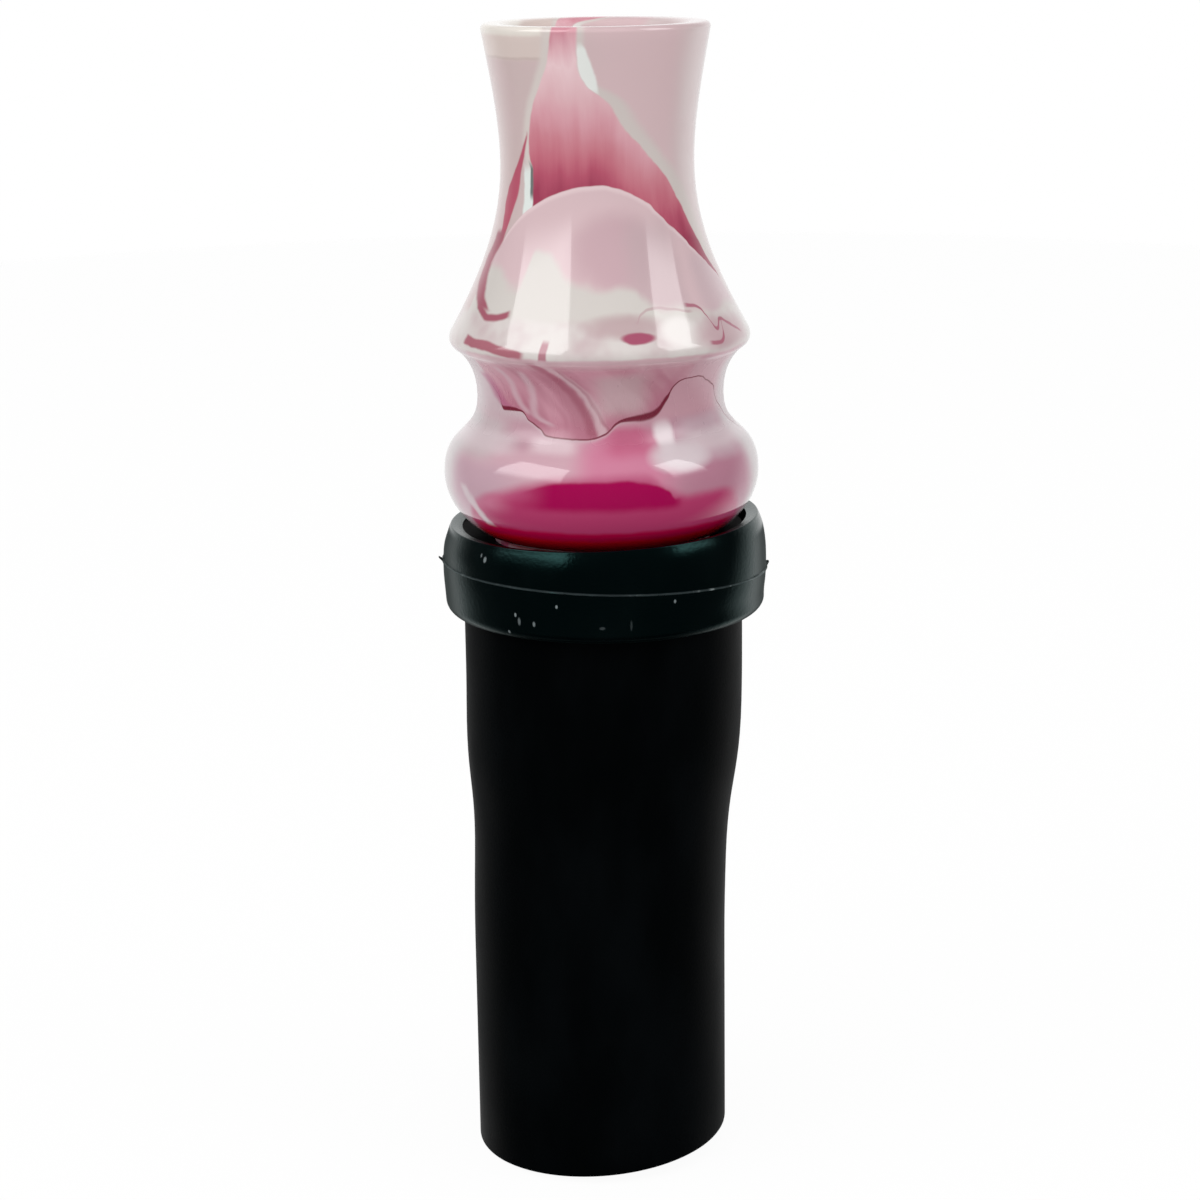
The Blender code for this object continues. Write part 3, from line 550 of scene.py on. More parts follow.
def face_cutter():
    """What is cut off the board's front: flat at the reed's tail, falling away towards the tip."""
    third, over = (BOARD_TIP_Z - BOARD_CURVE_Z) / 3, BOARD_TIP_Z + CUT_OVER
    foot, tip = (-CUT_REACH, FACE_FOOT_Z), (BOARD_TIP_DROP, BOARD_TIP_Z)
    face = [
        ((0.0, FACE_FOOT_Z),),
        ((0.0, BOARD_CURVE_Z),),
        ((0.0, BOARD_CURVE_Z + third), (BOARD_TIP_DROP / 3, BOARD_TIP_Z - third), tip),
        ((BOARD_TIP_DROP, over),),
        ((-CUT_REACH, over),),
        (foot,),
    ]
    return push_outline(draw_outline("face_cutter", foot, face, "YZ"), "X", -CUT_REACH, CUT_REACH)


def channel_cutter():
    """The trough that the sound takes along the board's face, round at its floor."""
    left, floor_y = (-CHANNEL_HALF, -CUT_REACH), CHANNEL_DEPTH - CHANNEL_HALF
    trough = [
        ((-CHANNEL_HALF, floor_y),),
        round_stroke((-CHANNEL_HALF, floor_y), (-CHANNEL_HALF, CHANNEL_DEPTH), (0.0, CHANNEL_DEPTH)),
        round_stroke((0.0, CHANNEL_DEPTH), (CHANNEL_HALF, CHANNEL_DEPTH), (CHANNEL_HALF, floor_y)),
        ((CHANNEL_HALF, -CUT_REACH),),
        (left,),
    ]
    return push_outline(draw_outline("channel_cutter", left, trough, "XY"), "Z", *CHANNEL_ENDS_Z)


def make_reed(name, back, tip, material):
    """A thin film reed with a round-cornered tip."""
    tail, side = (-REED_HALF, REED_TAIL_Z), tip - REED_TIP_ROUND
    strokes = [
        ((REED_HALF, REED_TAIL_Z),),
        ((REED_HALF, side),),
        round_stroke((REED_HALF, side), (REED_HALF, tip), (REED_HALF - REED_TIP_ROUND, tip)),
        ((REED_TIP_ROUND - REED_HALF, tip),),
        round_stroke((REED_TIP_ROUND - REED_HALF, tip), (-REED_HALF, tip), (-REED_HALF, side)),
        (tail,),
    ]
    return finish_piece(push_outline(draw_outline(name, tail, strokes), "Y", back, back - REED_T), material)


def make_cork(material):
    """The cork that jams the reeds: a piece of a round rod with a flat back and its end edges rubbed off."""
    swing = math.degrees(math.acos(CORK_BACK / CORK_R))
    left = (-CORK_R * math.sin(math.radians(swing)), -CORK_BACK)
    strokes = [arc_stroke(CORK_R, -90 - swing, -90), arc_stroke(CORK_R, -90, -90 + swing), (left,)]
    cork = push_outline(draw_outline("cork_block", left, strokes, "XY"), "Z", *CORK_ENDS_Z)
    pick(cork, "EDGE", lambda m: min(abs(m.z - end) for end in CORK_ENDS_Z) < TOUCH)
    bpy.ops.mesh.bevel(offset=CORK_EDGE * MM, segments=3, affect="EDGES")
    return finish_piece(cork, material)


class Value:
    """A number, vector or colour that flows between shader nodes; sums of values become Math nodes."""

    def __init__(self, socket):
        self.socket, self.tree = socket, socket.id_data

    def __add__(self, other):
        return calc("ADD", self, other)

    def __sub__(self, other):
        return calc("SUBTRACT", self, other)

    def __rsub__(self, other):
        return calc("SUBTRACT", other, self)

    def __mul__(self, other):
        return calc("MULTIPLY", self, other)

    def __truediv__(self, other):
        return calc("DIVIDE", self, other)

    def __abs__(self):
        return calc("ABSOLUTE", self)


def join(value, socket):
    """Link a value to a socket, or set the socket's own number, vector or colour."""
    if isinstance(value, Value):
        value.tree.links.new(value.socket, socket)
    else:
        socket.default_value = value


def node_after(value, kind, first=0, operation=None, **inputs):
    """A shader node of a kind that takes a value in one socket, with its other inputs given by name."""
    node = value.tree.nodes.new("ShaderNode" + kind)
    if operation:
        node.operation = operation
    join(value, node.inputs[first])
    for name, given in inputs.items():
        join(given, node.inputs[name])
    return node


def outputs(node):
    """What a node puts out, by name."""
    return {socket.name: Value(socket) for socket in node.outputs}


def calc(operation, *values):
    """A Math node's result, in the tree of the first value that is linked."""
    tree = next(value.tree for value in values if isinstance(value, Value))
    node = tree.nodes.new("ShaderNodeMath")
    node.operation = operation
    for value, socket in zip(values, node.inputs):
        join(value, socket)
    return Value(node.outputs[0])


def product(*values):
    """Several values multiplied together."""
    result = values[0]
    for value in values[1:]:
        result = result * value
    return result


def split(vector):
    """The X, Y and Z of a vector."""
    return [Value(socket) for socket in node_after(vector, "SeparateXYZ").outputs]


def fit(value, low, high, new_low, new_high, smooth=False):
    """A value moved from one range to another and held inside it."""
    node = value.tree.nodes.new("ShaderNodeMapRange")
    node.interpolation_type = "SMOOTHSTEP" if smooth else "LINEAR"
    for given, socket in zip((value, low, high, new_low, new_high), node.inputs):
        join(given, socket)
    return Value(node.outputs[0])


def ease(value, off, full):
    """A soft step: 0 where the value is at off, 1 where it is at full."""
    return fit(value, off, full, 0.0, 1.0, smooth=True)


def traced(along, points):
    """A value that runs smoothly through a few (along, value) points, level past both ends."""
    points = sorted(points)
    first, last = points[0][0], points[-1][0]
    lowest, highest = min(p[1] for p in points), max(p[1] for p in points)
    spots = [((x - first) / (last - first), (y - lowest) / (highest - lowest)) for x, y in points]
    node = node_after(fit(along, first, last, 0.0, 1.0), "FloatCurve", "Value")
    line = node.mapping.curves[0]
    line.points[0].location, line.points[1].location = spots[0], spots[-1]
    for spot in spots[1:-1]:
        line.points.new(*spot)
    for point in line.points:
        point.handle_type = "AUTO_CLAMPED"
    node.mapping.update()
    return fit(Value(node.outputs[0]), 0.0, 1.0, lowest, highest)


def noise(place, scale, detail=2.0, stretch=(1.0, 1.0, 1.0)):
    """Soft noise from 0 to 1 at a place in mm, stretched along its axes."""
    stretched = node_after(place, "VectorMath", operation="MULTIPLY")
    stretched.inputs[1].default_value = stretch
    node = node_after(Value(stretched.outputs[0]), "TexNoise", "Vector", Scale=scale, Detail=detail)
    return Value(node.outputs["Fac"])


def mix(mask, under, over):
    """One colour laid over another through a mask; each is a value or a display colour."""
    node = mask.tree.nodes.new("ShaderNodeMix")
    node.data_type = "RGBA"
    sockets = {socket.identifier: socket for socket in (*node.inputs, *node.outputs)}
    join(mask, sockets["Factor_Float"])
    for colour, name in ((under, "A_Color"), (over, "B_Color")):
        join(colour if isinstance(colour, Value) else paint(*colour), sockets[name])
    return Value(sockets["Result_Color"])


def shades_along(along, shades):
    """A colour that changes smoothly through (along, display colour) stops."""
    first, last = shades[0][0], shades[-1][0]
    ramp = node_after(fit(along, first, last, 0.0, 1.0), "ValToRGB")
    stops = ramp.color_ramp.elements
    stops[0].color, stops[1].color = paint(*shades[0][1]), paint(*shades[-1][1])
    for place, shade in shades[1:-1]:
        stops.new((place - first) / (last - first)).color = paint(*shade)
    return Value(ramp.outputs["Color"])


def new_group(name, inputs, results):
    """A shader node group; returns it with its inputs as values and the sockets of its results, by name."""
    group = bpy.data.node_groups.new(name, "ShaderNodeTree")
    for way, sockets in (("INPUT", inputs), ("OUTPUT", results)):
        for label, kind in sockets.items():
            group.interface.new_socket(label, in_out=way, socket_type="NodeSocket" + kind)
    source, sink = group.nodes.new("NodeGroupInput"), group.nodes.new("NodeGroupOutput")
    return group, outputs(source), sink.inputs


def use_group(group, place, **values):
    """Put a group beside a place that it reads, with its other inputs given by name; returns its results."""
    node = place.tree.nodes.new("ShaderNodeGroup")
    node.node_tree = group
    join(place, node.inputs["Place"])
    for name, value in values.items():
        join(value, node.inputs[name.replace("_", " ").capitalize()])
    return outputs(node)


def turn_and_height_group():
    """Where a point is on a turned piece: degrees round from the front, right positive, and mm up."""
    group, given, result = new_group("Turn and height", {"Place": "Vector"},
                                     {"Turn": "Float", "Height": "Float"})
    across, away, up = split(given["Place"])
    join(calc("DEGREES", calc("ARCTAN2", across, away * -1.0)), result["Turn"])
    join(up, result["Height"])
    return group


class Brush:
    """Lays colours on a surface known by its turn in degrees and its height in mm."""

    def __init__(self, turn, height, ground=None):
        self.turn, self.height, self.colour = turn, height, ground

    def lay(self, colour, *masks):
        """Cover what is there with a colour, through masks multiplied together."""
        self.colour = mix(product(*masks), self.colour, colour)

    def turn_at(self, points):
        """The turn that a line of (turn, height) points has at each height."""
        return traced(self.height, [(height, turn) for turn, height in points])

    def height_at(self, points):
        """The height that a line of (turn, height) points has at each turn."""
        return traced(self.turn, points)

    def right_of(self, line, soft):
        """Mask: to the right of a line that gives a turn."""
        return ease(self.turn - line, -soft, soft)

    def left_of(self, line, soft):
        """Mask: to the left of a line that gives a turn."""
        return ease(line - self.turn, -soft, soft)

    def above(self, line, soft):
        """Mask: above a line that gives a height."""
        return ease(self.height - line, -soft, soft)

    def below(self, line, soft):
        """Mask: below a line that gives a height."""
        return ease(line - self.height, -soft, soft)

    def heights(self, low, high, soft):
        """Mask: between two heights."""
        return self.above(low, soft) * self.below(high, soft)

    def turns(self, low, high, soft):
        """Mask: between two turns."""
        return self.right_of(low, soft) * self.left_of(high, soft)

    def spot(self, turn, height, half_turn, half_height, soft=0.4):
        """Mask: an oval about a point, fading over the soft share of its size."""
        across, up = (self.turn - turn) / half_turn, (self.height - height) / half_height
        return ease(across * across + up * up, (1 + soft) ** 2, (1 - soft) ** 2)

    def line_round(self, points, half_width, soft=0.5):
        """Mask: a drawn line that runs round the piece through (turn, height) points, from the left."""
        offset = abs(self.height - self.height_at(points))
        drawn = ease(offset, half_width * (1 + soft), half_width * (1 - soft))
        return drawn * self.turns(points[0][0], points[-1][0], LINE_END_TURN)

    def line_up(self, points, half_turn, soft=0.5):
        """Mask: a drawn line that runs up the piece through (turn, height) points, from the lowest."""
        offset = abs(self.turn - self.turn_at(points))
        drawn = ease(offset, half_turn * (1 + soft), half_turn * (1 - soft))
        return drawn * self.heights(points[0][1], points[-1][1], LINE_END_HEIGHT)


def marbled_group(turn_and_height):
    """The marbling of the acrylic: a folded figure at the front, repeated with other bends at the back."""
    group, given, result = new_group("Marbled acrylic figure", {"Place": "Vector"}, {"Color": "Color"})
    place = given["Place"]
    where = use_group(turn_and_height, place)
    cloud = noise(place, 0.16, 3.0)
    turn, height = bent_round_the_back(where["Turn"], where["Height"], place)
    ground = mix(ease(turn, -30.0, 10.0), (201, 181, 180), (211, 184, 187))
    ground = mix(ease(turn, 40.0, 60.0), ground, (210, 193, 193))
    brush = Brush(turn, height, ground)
    brush.lay((206, 182, 184), ease(cloud, 0.45, 0.75), 0.5)
    lay_lip(brush)
    lay_wedge(brush, place)
    lay_dome(brush, cloud)
    lay_flange(brush, place)
    lay_cove(brush)
    lay_bead(brush)
    lay_tenon(brush, place)
    join(brush.colour, result["Color"])
    return group


def bent_round_the_back(turn, height, place):
    """Fold the turn at both sides, and bend the figure more and more towards the back."""
    size = abs(turn)
    folded = (90.0 - abs(90.0 - size)) * calc("SIGN", turn)
    behind = ease(size, *BACK_FROM)
    sway = noise(place, 0.075, 1.0) - 0.5
    lift = noise(place, 0.06, 1.0, (1.0, 1.3, 0.7)) - 0.5
    ripple = noise(place, 0.45, 2.0) - 0.5
    new_turn = folded + sway * behind * BACK_SWAY + ripple * RIPPLE_TURN
    new_height = height + lift * behind * BACK_LIFT + ripple * RIPPLE_HEIGHT
    return new_turn, new_height


def lay_lip(brush):
    """A beige band at the left of the lip, with a crease under it, a painted highlight on the lip's left edge
    and painted shade on the right of its top.
    """
    left = brush.left_of(-27.0, 2.5)
    brush.lay((211, 195, 189), left, brush.above(109.85, 0.3))
    brush.lay((186, 168, 162), left, brush.heights(109.8, 110.05, 0.12), 0.5)
    # Pale at the left of the lip's top: partly its own colour, partly a painted highlight on the rounded
    # edge.
    brush.lay((224, 217, 209), left, brush.above(112.0, 0.25))
    # Painted shade: darker pinkish grey on the right of the lip's top.
    brush.lay((190, 166, 168), brush.right_of(-4.0, 3.0), brush.above(112.5, 0.15), 0.5)


def lay_wedge(brush, place):
    """The deep pink wedge under the lip, with the pale folds at its sides."""
    past_left = brush.turn_at(WEDGE_LEFT) - brush.turn
    past_right = brush.turn - brush.turn_at(WEDGE_RIGHT)
    outside_left, outside_right = ease(past_left, -1.0, 0.0), ease(past_right, -1.0, 0.0)
    brush.lay((211, 202, 197), outside_left, ease(past_left, 7.0, 2.0), brush.above(99.0, 2.0), 0.9)
    fold = fit(brush.height, 105.0, 109.5, 15.0, 5.0)
    brush.lay((206, 196, 192), outside_right, ease(past_right, fold, fold * 0.35), brush.above(91.0, 1.0))
    drop = brush.left_of(brush.turn_at(DROP_RIGHT), 1.0) * brush.heights(106.9, 111.2, 0.5)
    brush.lay((228, 230, 226), drop, ease(past_right, -0.5, 0.5))
    sliver = brush.right_of(brush.turn_at(SLIVER_LEFT), 0.9) * brush.left_of(brush.turn_at(SLIVER_RIGHT), 0.9)
    brush.lay((180, 88, 108), sliver, brush.heights(92.7, 103.1, 0.4))
    brush.lay((222, 228, 224), outside_left, ease(past_left, 8.5, 6.5), brush.heights(95.2, 100.0, 0.6))
    brush.lay((66, 76, 74), outside_left, ease(past_left, 2.8, 1.6), brush.heights(97.3, 100.3, 0.5), 0.85)
    streaks = noise(place, 0.9, 3.0, (1.0, 1.0, 0.08))
    patches = noise(place, 0.28, 2.0, (1.0, 1.0, 0.5))
    shade = brush.height + fit(brush.turn, 2.0, 30.0, 0.0, 4.2)
    shade = shade + fit(streaks, 0.0, 1.0, -1.5, 1.5) + fit(patches, 0.0, 1.0, -1.6, 1.6)
    inside = ease(past_left, 0.7, -0.7) * ease(past_right, 0.9, -0.9)
    brush.lay(shades_along(shade, WEDGE_SHADES), inside)


def lay_dome(brush, cloud):
    """The pale dome that stands in front of the wedge, white towards its foot and dusky at the right."""
    depth = brush.height_at(DOME_EDGE) - brush.height
    inside = ease(depth, -0.1, 0.1) * brush.turns(-72.0, 80.0, 1.0)
    brush.lay((211, 184, 188), inside)
    brush.lay((226, 203, 205), inside, ease(depth, 0.6, 0.1), 0.8)
    drift = Brush(brush.turn, brush.height + fit(cloud, 0.2, 0.8, -1.0, 1.0))
    brush.lay((196, 164, 171), inside, drift.spot(8.0, 92.6, 19.0, 3.0, 0.5), 0.9)
    brush.lay((192, 168, 172), inside, brush.turns(14.0, 42.0, 6.0), brush.below(95.0, 1.5), 0.75)
    brush.lay((203, 179, 184), inside, brush.right_of(50.0, 5.0), brush.below(91.5, 1.0), 0.85)
    brush.lay((206, 200, 195), inside, drift.below(brush.height_at(DOME_WHITE), 0.7))


def lay_flange(brush, place):
    """White round the flange, with smudges, thin drawn lines of pink and a painted highlight at the right."""
    cloud = noise(place, 0.3, 2.0)
    white = mix(ease(cloud, 0.4, 0.75), (213, 206, 203), (198, 178, 180))
    brush.lay(white, brush.heights(83.1, 86.4, 0.5), 0.9)
    brush.lay((180, 150, 154), brush.spot(10.0, 86.0, 13.0, 0.9, 0.6), 0.75)
    # A bright white patch at the right: partly its own white, partly a painted highlight of the right lamp.
    brush.lay((226, 220, 217), brush.spot(33.0, 85.2, 8.0, 1.2, 0.4), 0.9)
    brush.lay((188, 152, 160), brush.spot(58.0, 84.6, 15.0, 1.2, 0.6), 0.7)
    brush.lay((184, 150, 155), brush.line_round(LOOP, 0.12), 0.6)
    brush.lay((162, 92, 107), brush.line_up(SEAM, 5.0, 0.4))
    brush.lay((162, 92, 107), brush.line_round(HOOK, 0.32))
    brush.lay((168, 104, 116), brush.line_round(DASH, 0.42, 0.3))
    brush.lay((172, 110, 124), brush.line_up(TICK, 1.6, 0.3), 0.9)
    brush.lay((164, 84, 108), brush.spot(15.0, 85.0, 6.5, 0.5, 0.25))
    brush.lay((166, 94, 114), brush.line_round(SQUIGGLE_DOWN, 0.16), 0.85)
    brush.lay((166, 92, 112), brush.line_round(SQUIGGLE_FOOT, 0.18), 0.85)


def lay_cove(brush):
    """The pink pocket in the cove, swirled, and torn off below along a dark crack."""
    cove = brush.below(83.0, 0.25)
    side = ease(brush.turn, -10.0, 30.0)
    brush.lay(mix(side, (198, 175, 181), (193, 147, 159)), cove)
    brush.lay((200, 184, 188), cove, ease(abs(brush.turn), 60.0, 74.0))
    depth = brush.height - brush.height_at(CRACK)
    pocket = product(cove, ease(depth, -0.1, 0.1), brush.turns(-60.0, 41.0, 2.0))
    across = brush.turn - brush.turn_at(SWIRL)
    weave = node_after(across, "CombineXYZ", Y=brush.height)
    bands = noise(Value(weave.outputs[0]), 0.09, 2.0, (1.0, 1.2, 1.0))
    soft_pink = mix(side, (199, 141, 157), (195, 143, 156))
    brush.lay(mix(ease(bands, 0.34, 0.62), (181, 119, 136), soft_pink), pocket)
    brush.lay((212, 192, 194), pocket, brush.above(82.2, 0.5), 0.6)
    brush.lay((176, 104, 126), pocket, ease(depth, 2.4, 0.2), brush.turns(-48.0, 34.0, 8.0), 0.7)
    for veil in VEILS:
        brush.lay((206, 178, 186), pocket, brush.line_up(veil, 1.8, 0.9), 0.6)
    brush.lay((176, 96, 130), brush.line_up(POCKET_EDGE, 3.6, 0.8), 0.8)
    brush.lay((206, 178, 184), pocket, ease(across, 1.0, 3.0), ease(across, 8.0, 5.0), 0.7)
    for stroke, half_turn, strength in ((SWIRL, 2.2, 0.8), (SWIRL_RIGHT, 0.8, 0.5)):
        brush.lay((160, 86, 106), pocket, brush.line_up(stroke, half_turn, 0.8), strength)
    brush.lay((196, 180, 180), pocket, brush.turns(-2.0, 20.0, 6.0), brush.heights(77.6, 81.6, 0.8), 0.5)
    line = ease(abs(depth) / brush.height_at(CRACK_WIDTH), 1.5, 0.6)
    brush.lay((118, 26, 52), line, brush.turns(-58.0, 86.0, 2.0), cove)


def lay_bead(brush):
    """The bead: pale at the left, dusky at the right, hot pink between, magenta and dark red at its foot;
    with painted shade and a painted highlight under the crack, painted highlights of the right lamp, and its
    red painted brighter as a glow.
    """
    low = brush.below(brush.height_at(CRACK) - 0.2, 0.3) * brush.below(76.7, 0.8)
    aside = abs(brush.turn)
    brush.lay(mix(ease(brush.turn, -5.0, 40.0), (200, 162, 173), (176, 122, 141)), low)
    brush.lay((197, 175, 183), low, brush.turns(36.0, 66.0, 8.0), brush.heights(73.0, 77.2, 0.6), 0.7)
    # Painted shade: a darker band under the crack at the left, toning down the lamp's reflection there.
    brush.lay((182, 138, 152), low, brush.above(74.3, 0.4), brush.turns(-52.0, -6.0, 8.0), 0.8)
    brush.lay((196, 178, 182), low, brush.left_of(-47.0, 7.0), brush.above(73.0, 0.9))
    brush.lay((188, 156, 168), low, brush.left_of(-34.0, 10.0), brush.below(72.8, 0.8), 0.85)
    brush.lay((196, 186, 188), low, ease(aside, 62.0, 76.0))
    brush.lay((214, 198, 202), low, ease(aside, 32.0, 44.0), brush.heights(73.8, 75.4, 0.5), 0.7)
    # A pale band under the crack: partly the acrylic's own white, partly a painted highlight.
    brush.lay((222, 199, 205), low, brush.heights(74.2, 75.4, 0.4), brush.turns(-30.0, -9.0, 5.0), 0.8)
    brush.lay((200, 126, 152), low, brush.turns(-8.0, 25.0, 7.0), brush.below(75.9, 0.5))
    brush.lay((188, 88, 123), low, brush.turns(2.0, 21.0, 6.0), brush.heights(74.2, 76.8, 0.9), 0.9)
    # Two white patches at the right: partly the acrylic's own white, partly painted highlights of the right
    # lamp.
    brush.lay((222, 207, 211), low, brush.spot(28.0, 75.6, 4.5, 1.5, 0.4), 0.95)
    brush.lay((211, 198, 202), low, brush.spot(32.0, 73.7, 11.0, 1.1, 0.5), 0.95)
    blush = brush.below(brush.height_at(BLUSH_TOP), 0.7) * brush.turns(-60.0, 64.0, 2.0)
    brush.lay((178, 78, 116), blush)
    brush.lay((171, 56, 100), brush.below(70.0, 0.6), brush.turns(-44.0, 52.0, 8.0))
    brush.lay((198, 128, 152), blush, brush.above(68.6, 0.7), brush.left_of(-38.0, 7.0), 0.7)
    lens = brush.below(brush.height_at(LENS_TOP), 0.2) * brush.above(69.2, 0.5)
    brush.lay((157, 2, 75), lens, brush.right_of(-26.0, 9.0), brush.left_of(28.0, 2.5))
    brush.lay((206, 190, 195), brush.line_up(BEAD_STREAK, 2.4, 0.7), 0.9)
    brush.lay((172, 4, 62), brush.below(66.9, 0.25), brush.turns(-58.0, 60.0, 6.0))
    # Bright red at the very foot: the acrylic's red, painted brighter as a glow of light through it.
    brush.lay((205, 4, 30), brush.below(66.0, 0.3), brush.turns(-62.0, 62.0, 8.0))


def lay_tenon(brush, place):
    """The tenon, hidden in the tube: the same pinks and whites in long folds."""
    folds = noise(place, 0.13, 3.0, (1.0, 1.0, 0.45))
    pinks = mix(ease(folds, 0.4, 0.52), (206, 196, 194), (204, 160, 172))
    pinks = mix(ease(folds, 0.56, 0.6), pinks, (178, 84, 116))
    brush.lay(pinks, brush.below(SHOULDER_Z - 0.2, 0.3))


def new_material(name):
    """A plain material; returns it with its Principled shader and a place in mm."""
    material = bpy.data.materials.new(name)
    material.use_nodes = True
    nodes = material.node_tree.nodes
    place = outputs(nodes.new("ShaderNodeTexCoord"))["Object"]
    in_mm = node_after(place, "VectorMath", operation="SCALE", Scale=1 / MM)
    return material, nodes["Principled BSDF"], Value(in_mm.outputs[0])


def emboss(shader, height, depth, strength=1.0):
    """Raise a shader's surface by a mask of heights, to a depth in mm."""
    relief = node_after(height, "Bump", "Height", Strength=strength, Distance=depth * MM)
    join(Value(relief.outputs["Normal"]), shader.inputs["Normal"])


def acrylic_material(marbled, turn_and_height):
    """Marbled acrylic, polished, and duller in the cove, where a lanyard rubs."""
    material, shader, place = new_material("marbled_acrylic_polish")
    join(use_group(marbled, place)["Color"], shader.inputs["Base Color"])
    smear = noise(place, 0.35, 3.0, (1.0, 1.0, 0.4))
    where = use_group(turn_and_height, place)
    worn = Brush(where["Turn"], where["Height"]).heights(*COVE_WORN_Z, 0.4) * COVE_WEAR
    join(fit(smear, 0.3, 0.7, *ACRYLIC_ROUGHNESS) + worn, shader.inputs["Roughness"])
    shader.inputs["IOR"].default_value = ACRYLIC_IOR
    shader.inputs["Specular IOR Level"].default_value = ACRYLIC_GLOSS
    return material


def rubber_grain_group():
    """Fine unevenness of moulded rubber: a grain for bump, and a patchy mask for colour and roughness."""
    group, given, result = new_group("Rubber grain", {"Place": "Vector", "Grain size": "Float"},
                                     {"Grain": "Float", "Patches": "Float"})
    scale = calc("DIVIDE", 1.0, given["Grain size"])
    grain = node_after(given["Place"], "TexNoise", "Vector", Scale=scale, Detail=3.0)
    join(Value(grain.outputs["Fac"]), result["Grain"])
    join(noise(given["Place"], 0.12, 3.0, (1.0, 1.0, 0.5)), result["Patches"])
    return group


def rubber_material(name, grain_group, dark, pale, roughness, grain_size, bump, specular):
    """Black rubber: colours between dark and pale, a range of roughness, and a fine grain."""
    material, shader, place = new_material(name)
    grain = use_group(grain_group, place, grain_size=grain_size)
    join(mix(ease(grain["Patches"], 0.35, 0.7), dark, pale), shader.inputs["Base Color"])
    join(fit(grain["Patches"], 0.3, 0.7, *roughness), shader.inputs["Roughness"])
    shader.inputs["Specular IOR Level"].default_value = specular
    emboss(shader, grain["Grain"], RUBBER_GRAIN_DEPTH, bump)
    return material, shader, place


def flash_height(turn):
    """The height of the collar's parting line at a turn in degrees."""
    across, towards = math.sin(math.radians(turn)), math.cos(math.radians(turn))
    rise = across * math.tan(COLLAR_FLASH_DROP) + towards * math.tan(COLLAR_FLASH_NOD)
    return COLLAR_FLASH_Z + COLLAR_FLASH_R * rise


def collar_material(grain_group, turn_and_height):
    """Glossy moulded rubber, duller where it turns away, with a painted highlight line along the flash, dust
    and glints caught on it, and a few flecks.
    """
    material, shader, place = rubber_material(
        "moulded_black_rubber", grain_group, (0, 2, 3), (3, 6, 7), roughness=(0.14, 0.22),
        grain_size=0.35, bump=0.15, specular=0.42)
    shader.inputs["Specular Tint"].default_value = COLLAR_SHEEN
    colour, gloss = (Value(shader.inputs[name].links[0].from_socket) for name in ("Base Color", "Roughness"))
    where = use_group(turn_and_height, place)
    brush = Brush(where["Turn"], where["Height"], colour)
    away = outputs(material.node_tree.nodes.new("ShaderNodeLayerWeight"))["Facing"]
    dull = fit(away, *COLLAR_EDGE, 0.0, COLLAR_EDGE_DULL, smooth=True)
    dull = dull * brush.below(COLLAR_FLASH_Z + COLLAR_TOP - COLLAR_TOP_DEEP, 0.4)
    join(gloss + dull, shader.inputs["Roughness"])
    for turn, height, half_turn, half_height, strength in COLLAR_FLECKS:
        brush.lay((132, 140, 142), brush.spot(turn, height, half_turn, half_height, 0.6), strength)
    # A painted highlight: a paler line along the flash, where the top of the fin catches the light.
    line = brush.line_round([(turn, flash_height(turn)) for turn in range(-80, 81, 20)], 0.09, 0.6)
    brush.lay((66, 74, 76), line, 0.5)
    # Brighter broken specks on that line, more at the right: dust, and glints of the lit fin.
    dust_and_glints = ease(noise(place, 1.1, 2.0, (1.0, 1.0, 0.2)), 0.54, 0.7)
    at_right = ease(where["Turn"], 10.0, 40.0)
    brush.lay((140, 148, 148), line, dust_and_glints, fit(at_right, 0.0, 1.0, 0.15, 0.65))
    join(brush.colour, shader.inputs["Base Color"])
    return material


def streaked_material(name, dark, pale, roughness, scale, stretch):
    """A plastic with faint streaks of two close tints, and of gloss, drawn out along some axes."""
    material, shader, place = new_material(name)
    streaks = noise(place, scale, 3.0, stretch)
    join(mix(ease(streaks, 0.35, 0.65), dark, pale), shader.inputs["Base Color"])
    join(fit(streaks, 0.3, 0.7, *roughness), shader.inputs["Roughness"])
    return material


def cork_material():
    """Cork: grains of several browns, with dark pores that are also pits."""
    material, shader, place = new_material("natural_cork")
    grains = node_after(place, "TexVoronoi", "Vector", Scale=CORK_GRAIN_SCALE)
    shades = outputs(node_after(Value(grains.outputs["Color"]), "SeparateColor"))
    brown = mix(shades["Red"], (178, 128, 82), (206, 160, 112))
    pores = ease(noise(place, 0.9, 4.0, (1.0, 1.0, 0.6)), 0.58, 0.66)
    join(mix(pores, brown, (96, 60, 36)), shader.inputs["Base Color"])
    shader.inputs["Roughness"].default_value = CORK_ROUGHNESS
    emboss(shader, 1.0 - pores, CORK_PORE_DEPTH)
    return material


def make_camera():
    """The camera at the photograph's place."""
    lens = bpy.data.cameras.new("photograph_view")
    lens.lens, lens.sensor_width = CAMERA_LENS, CAMERA_SENSOR
    lens.clip_start, lens.clip_end = CAMERA_SEES
    camera = bpy.data.objects.new("photograph_view", lens)
    bpy.context.scene.collection.objects.link(camera)
    tilt = Matrix.Rotation(math.radians(90) - CAMERA_PITCH, 4, "X")
    camera.matrix_world = Matrix.Translation(CAMERA_PLACE) @ tilt @ Matrix.Rotation(-CAMERA_ROLL, 4, "Z")
    bpy.context.scene.camera = camera


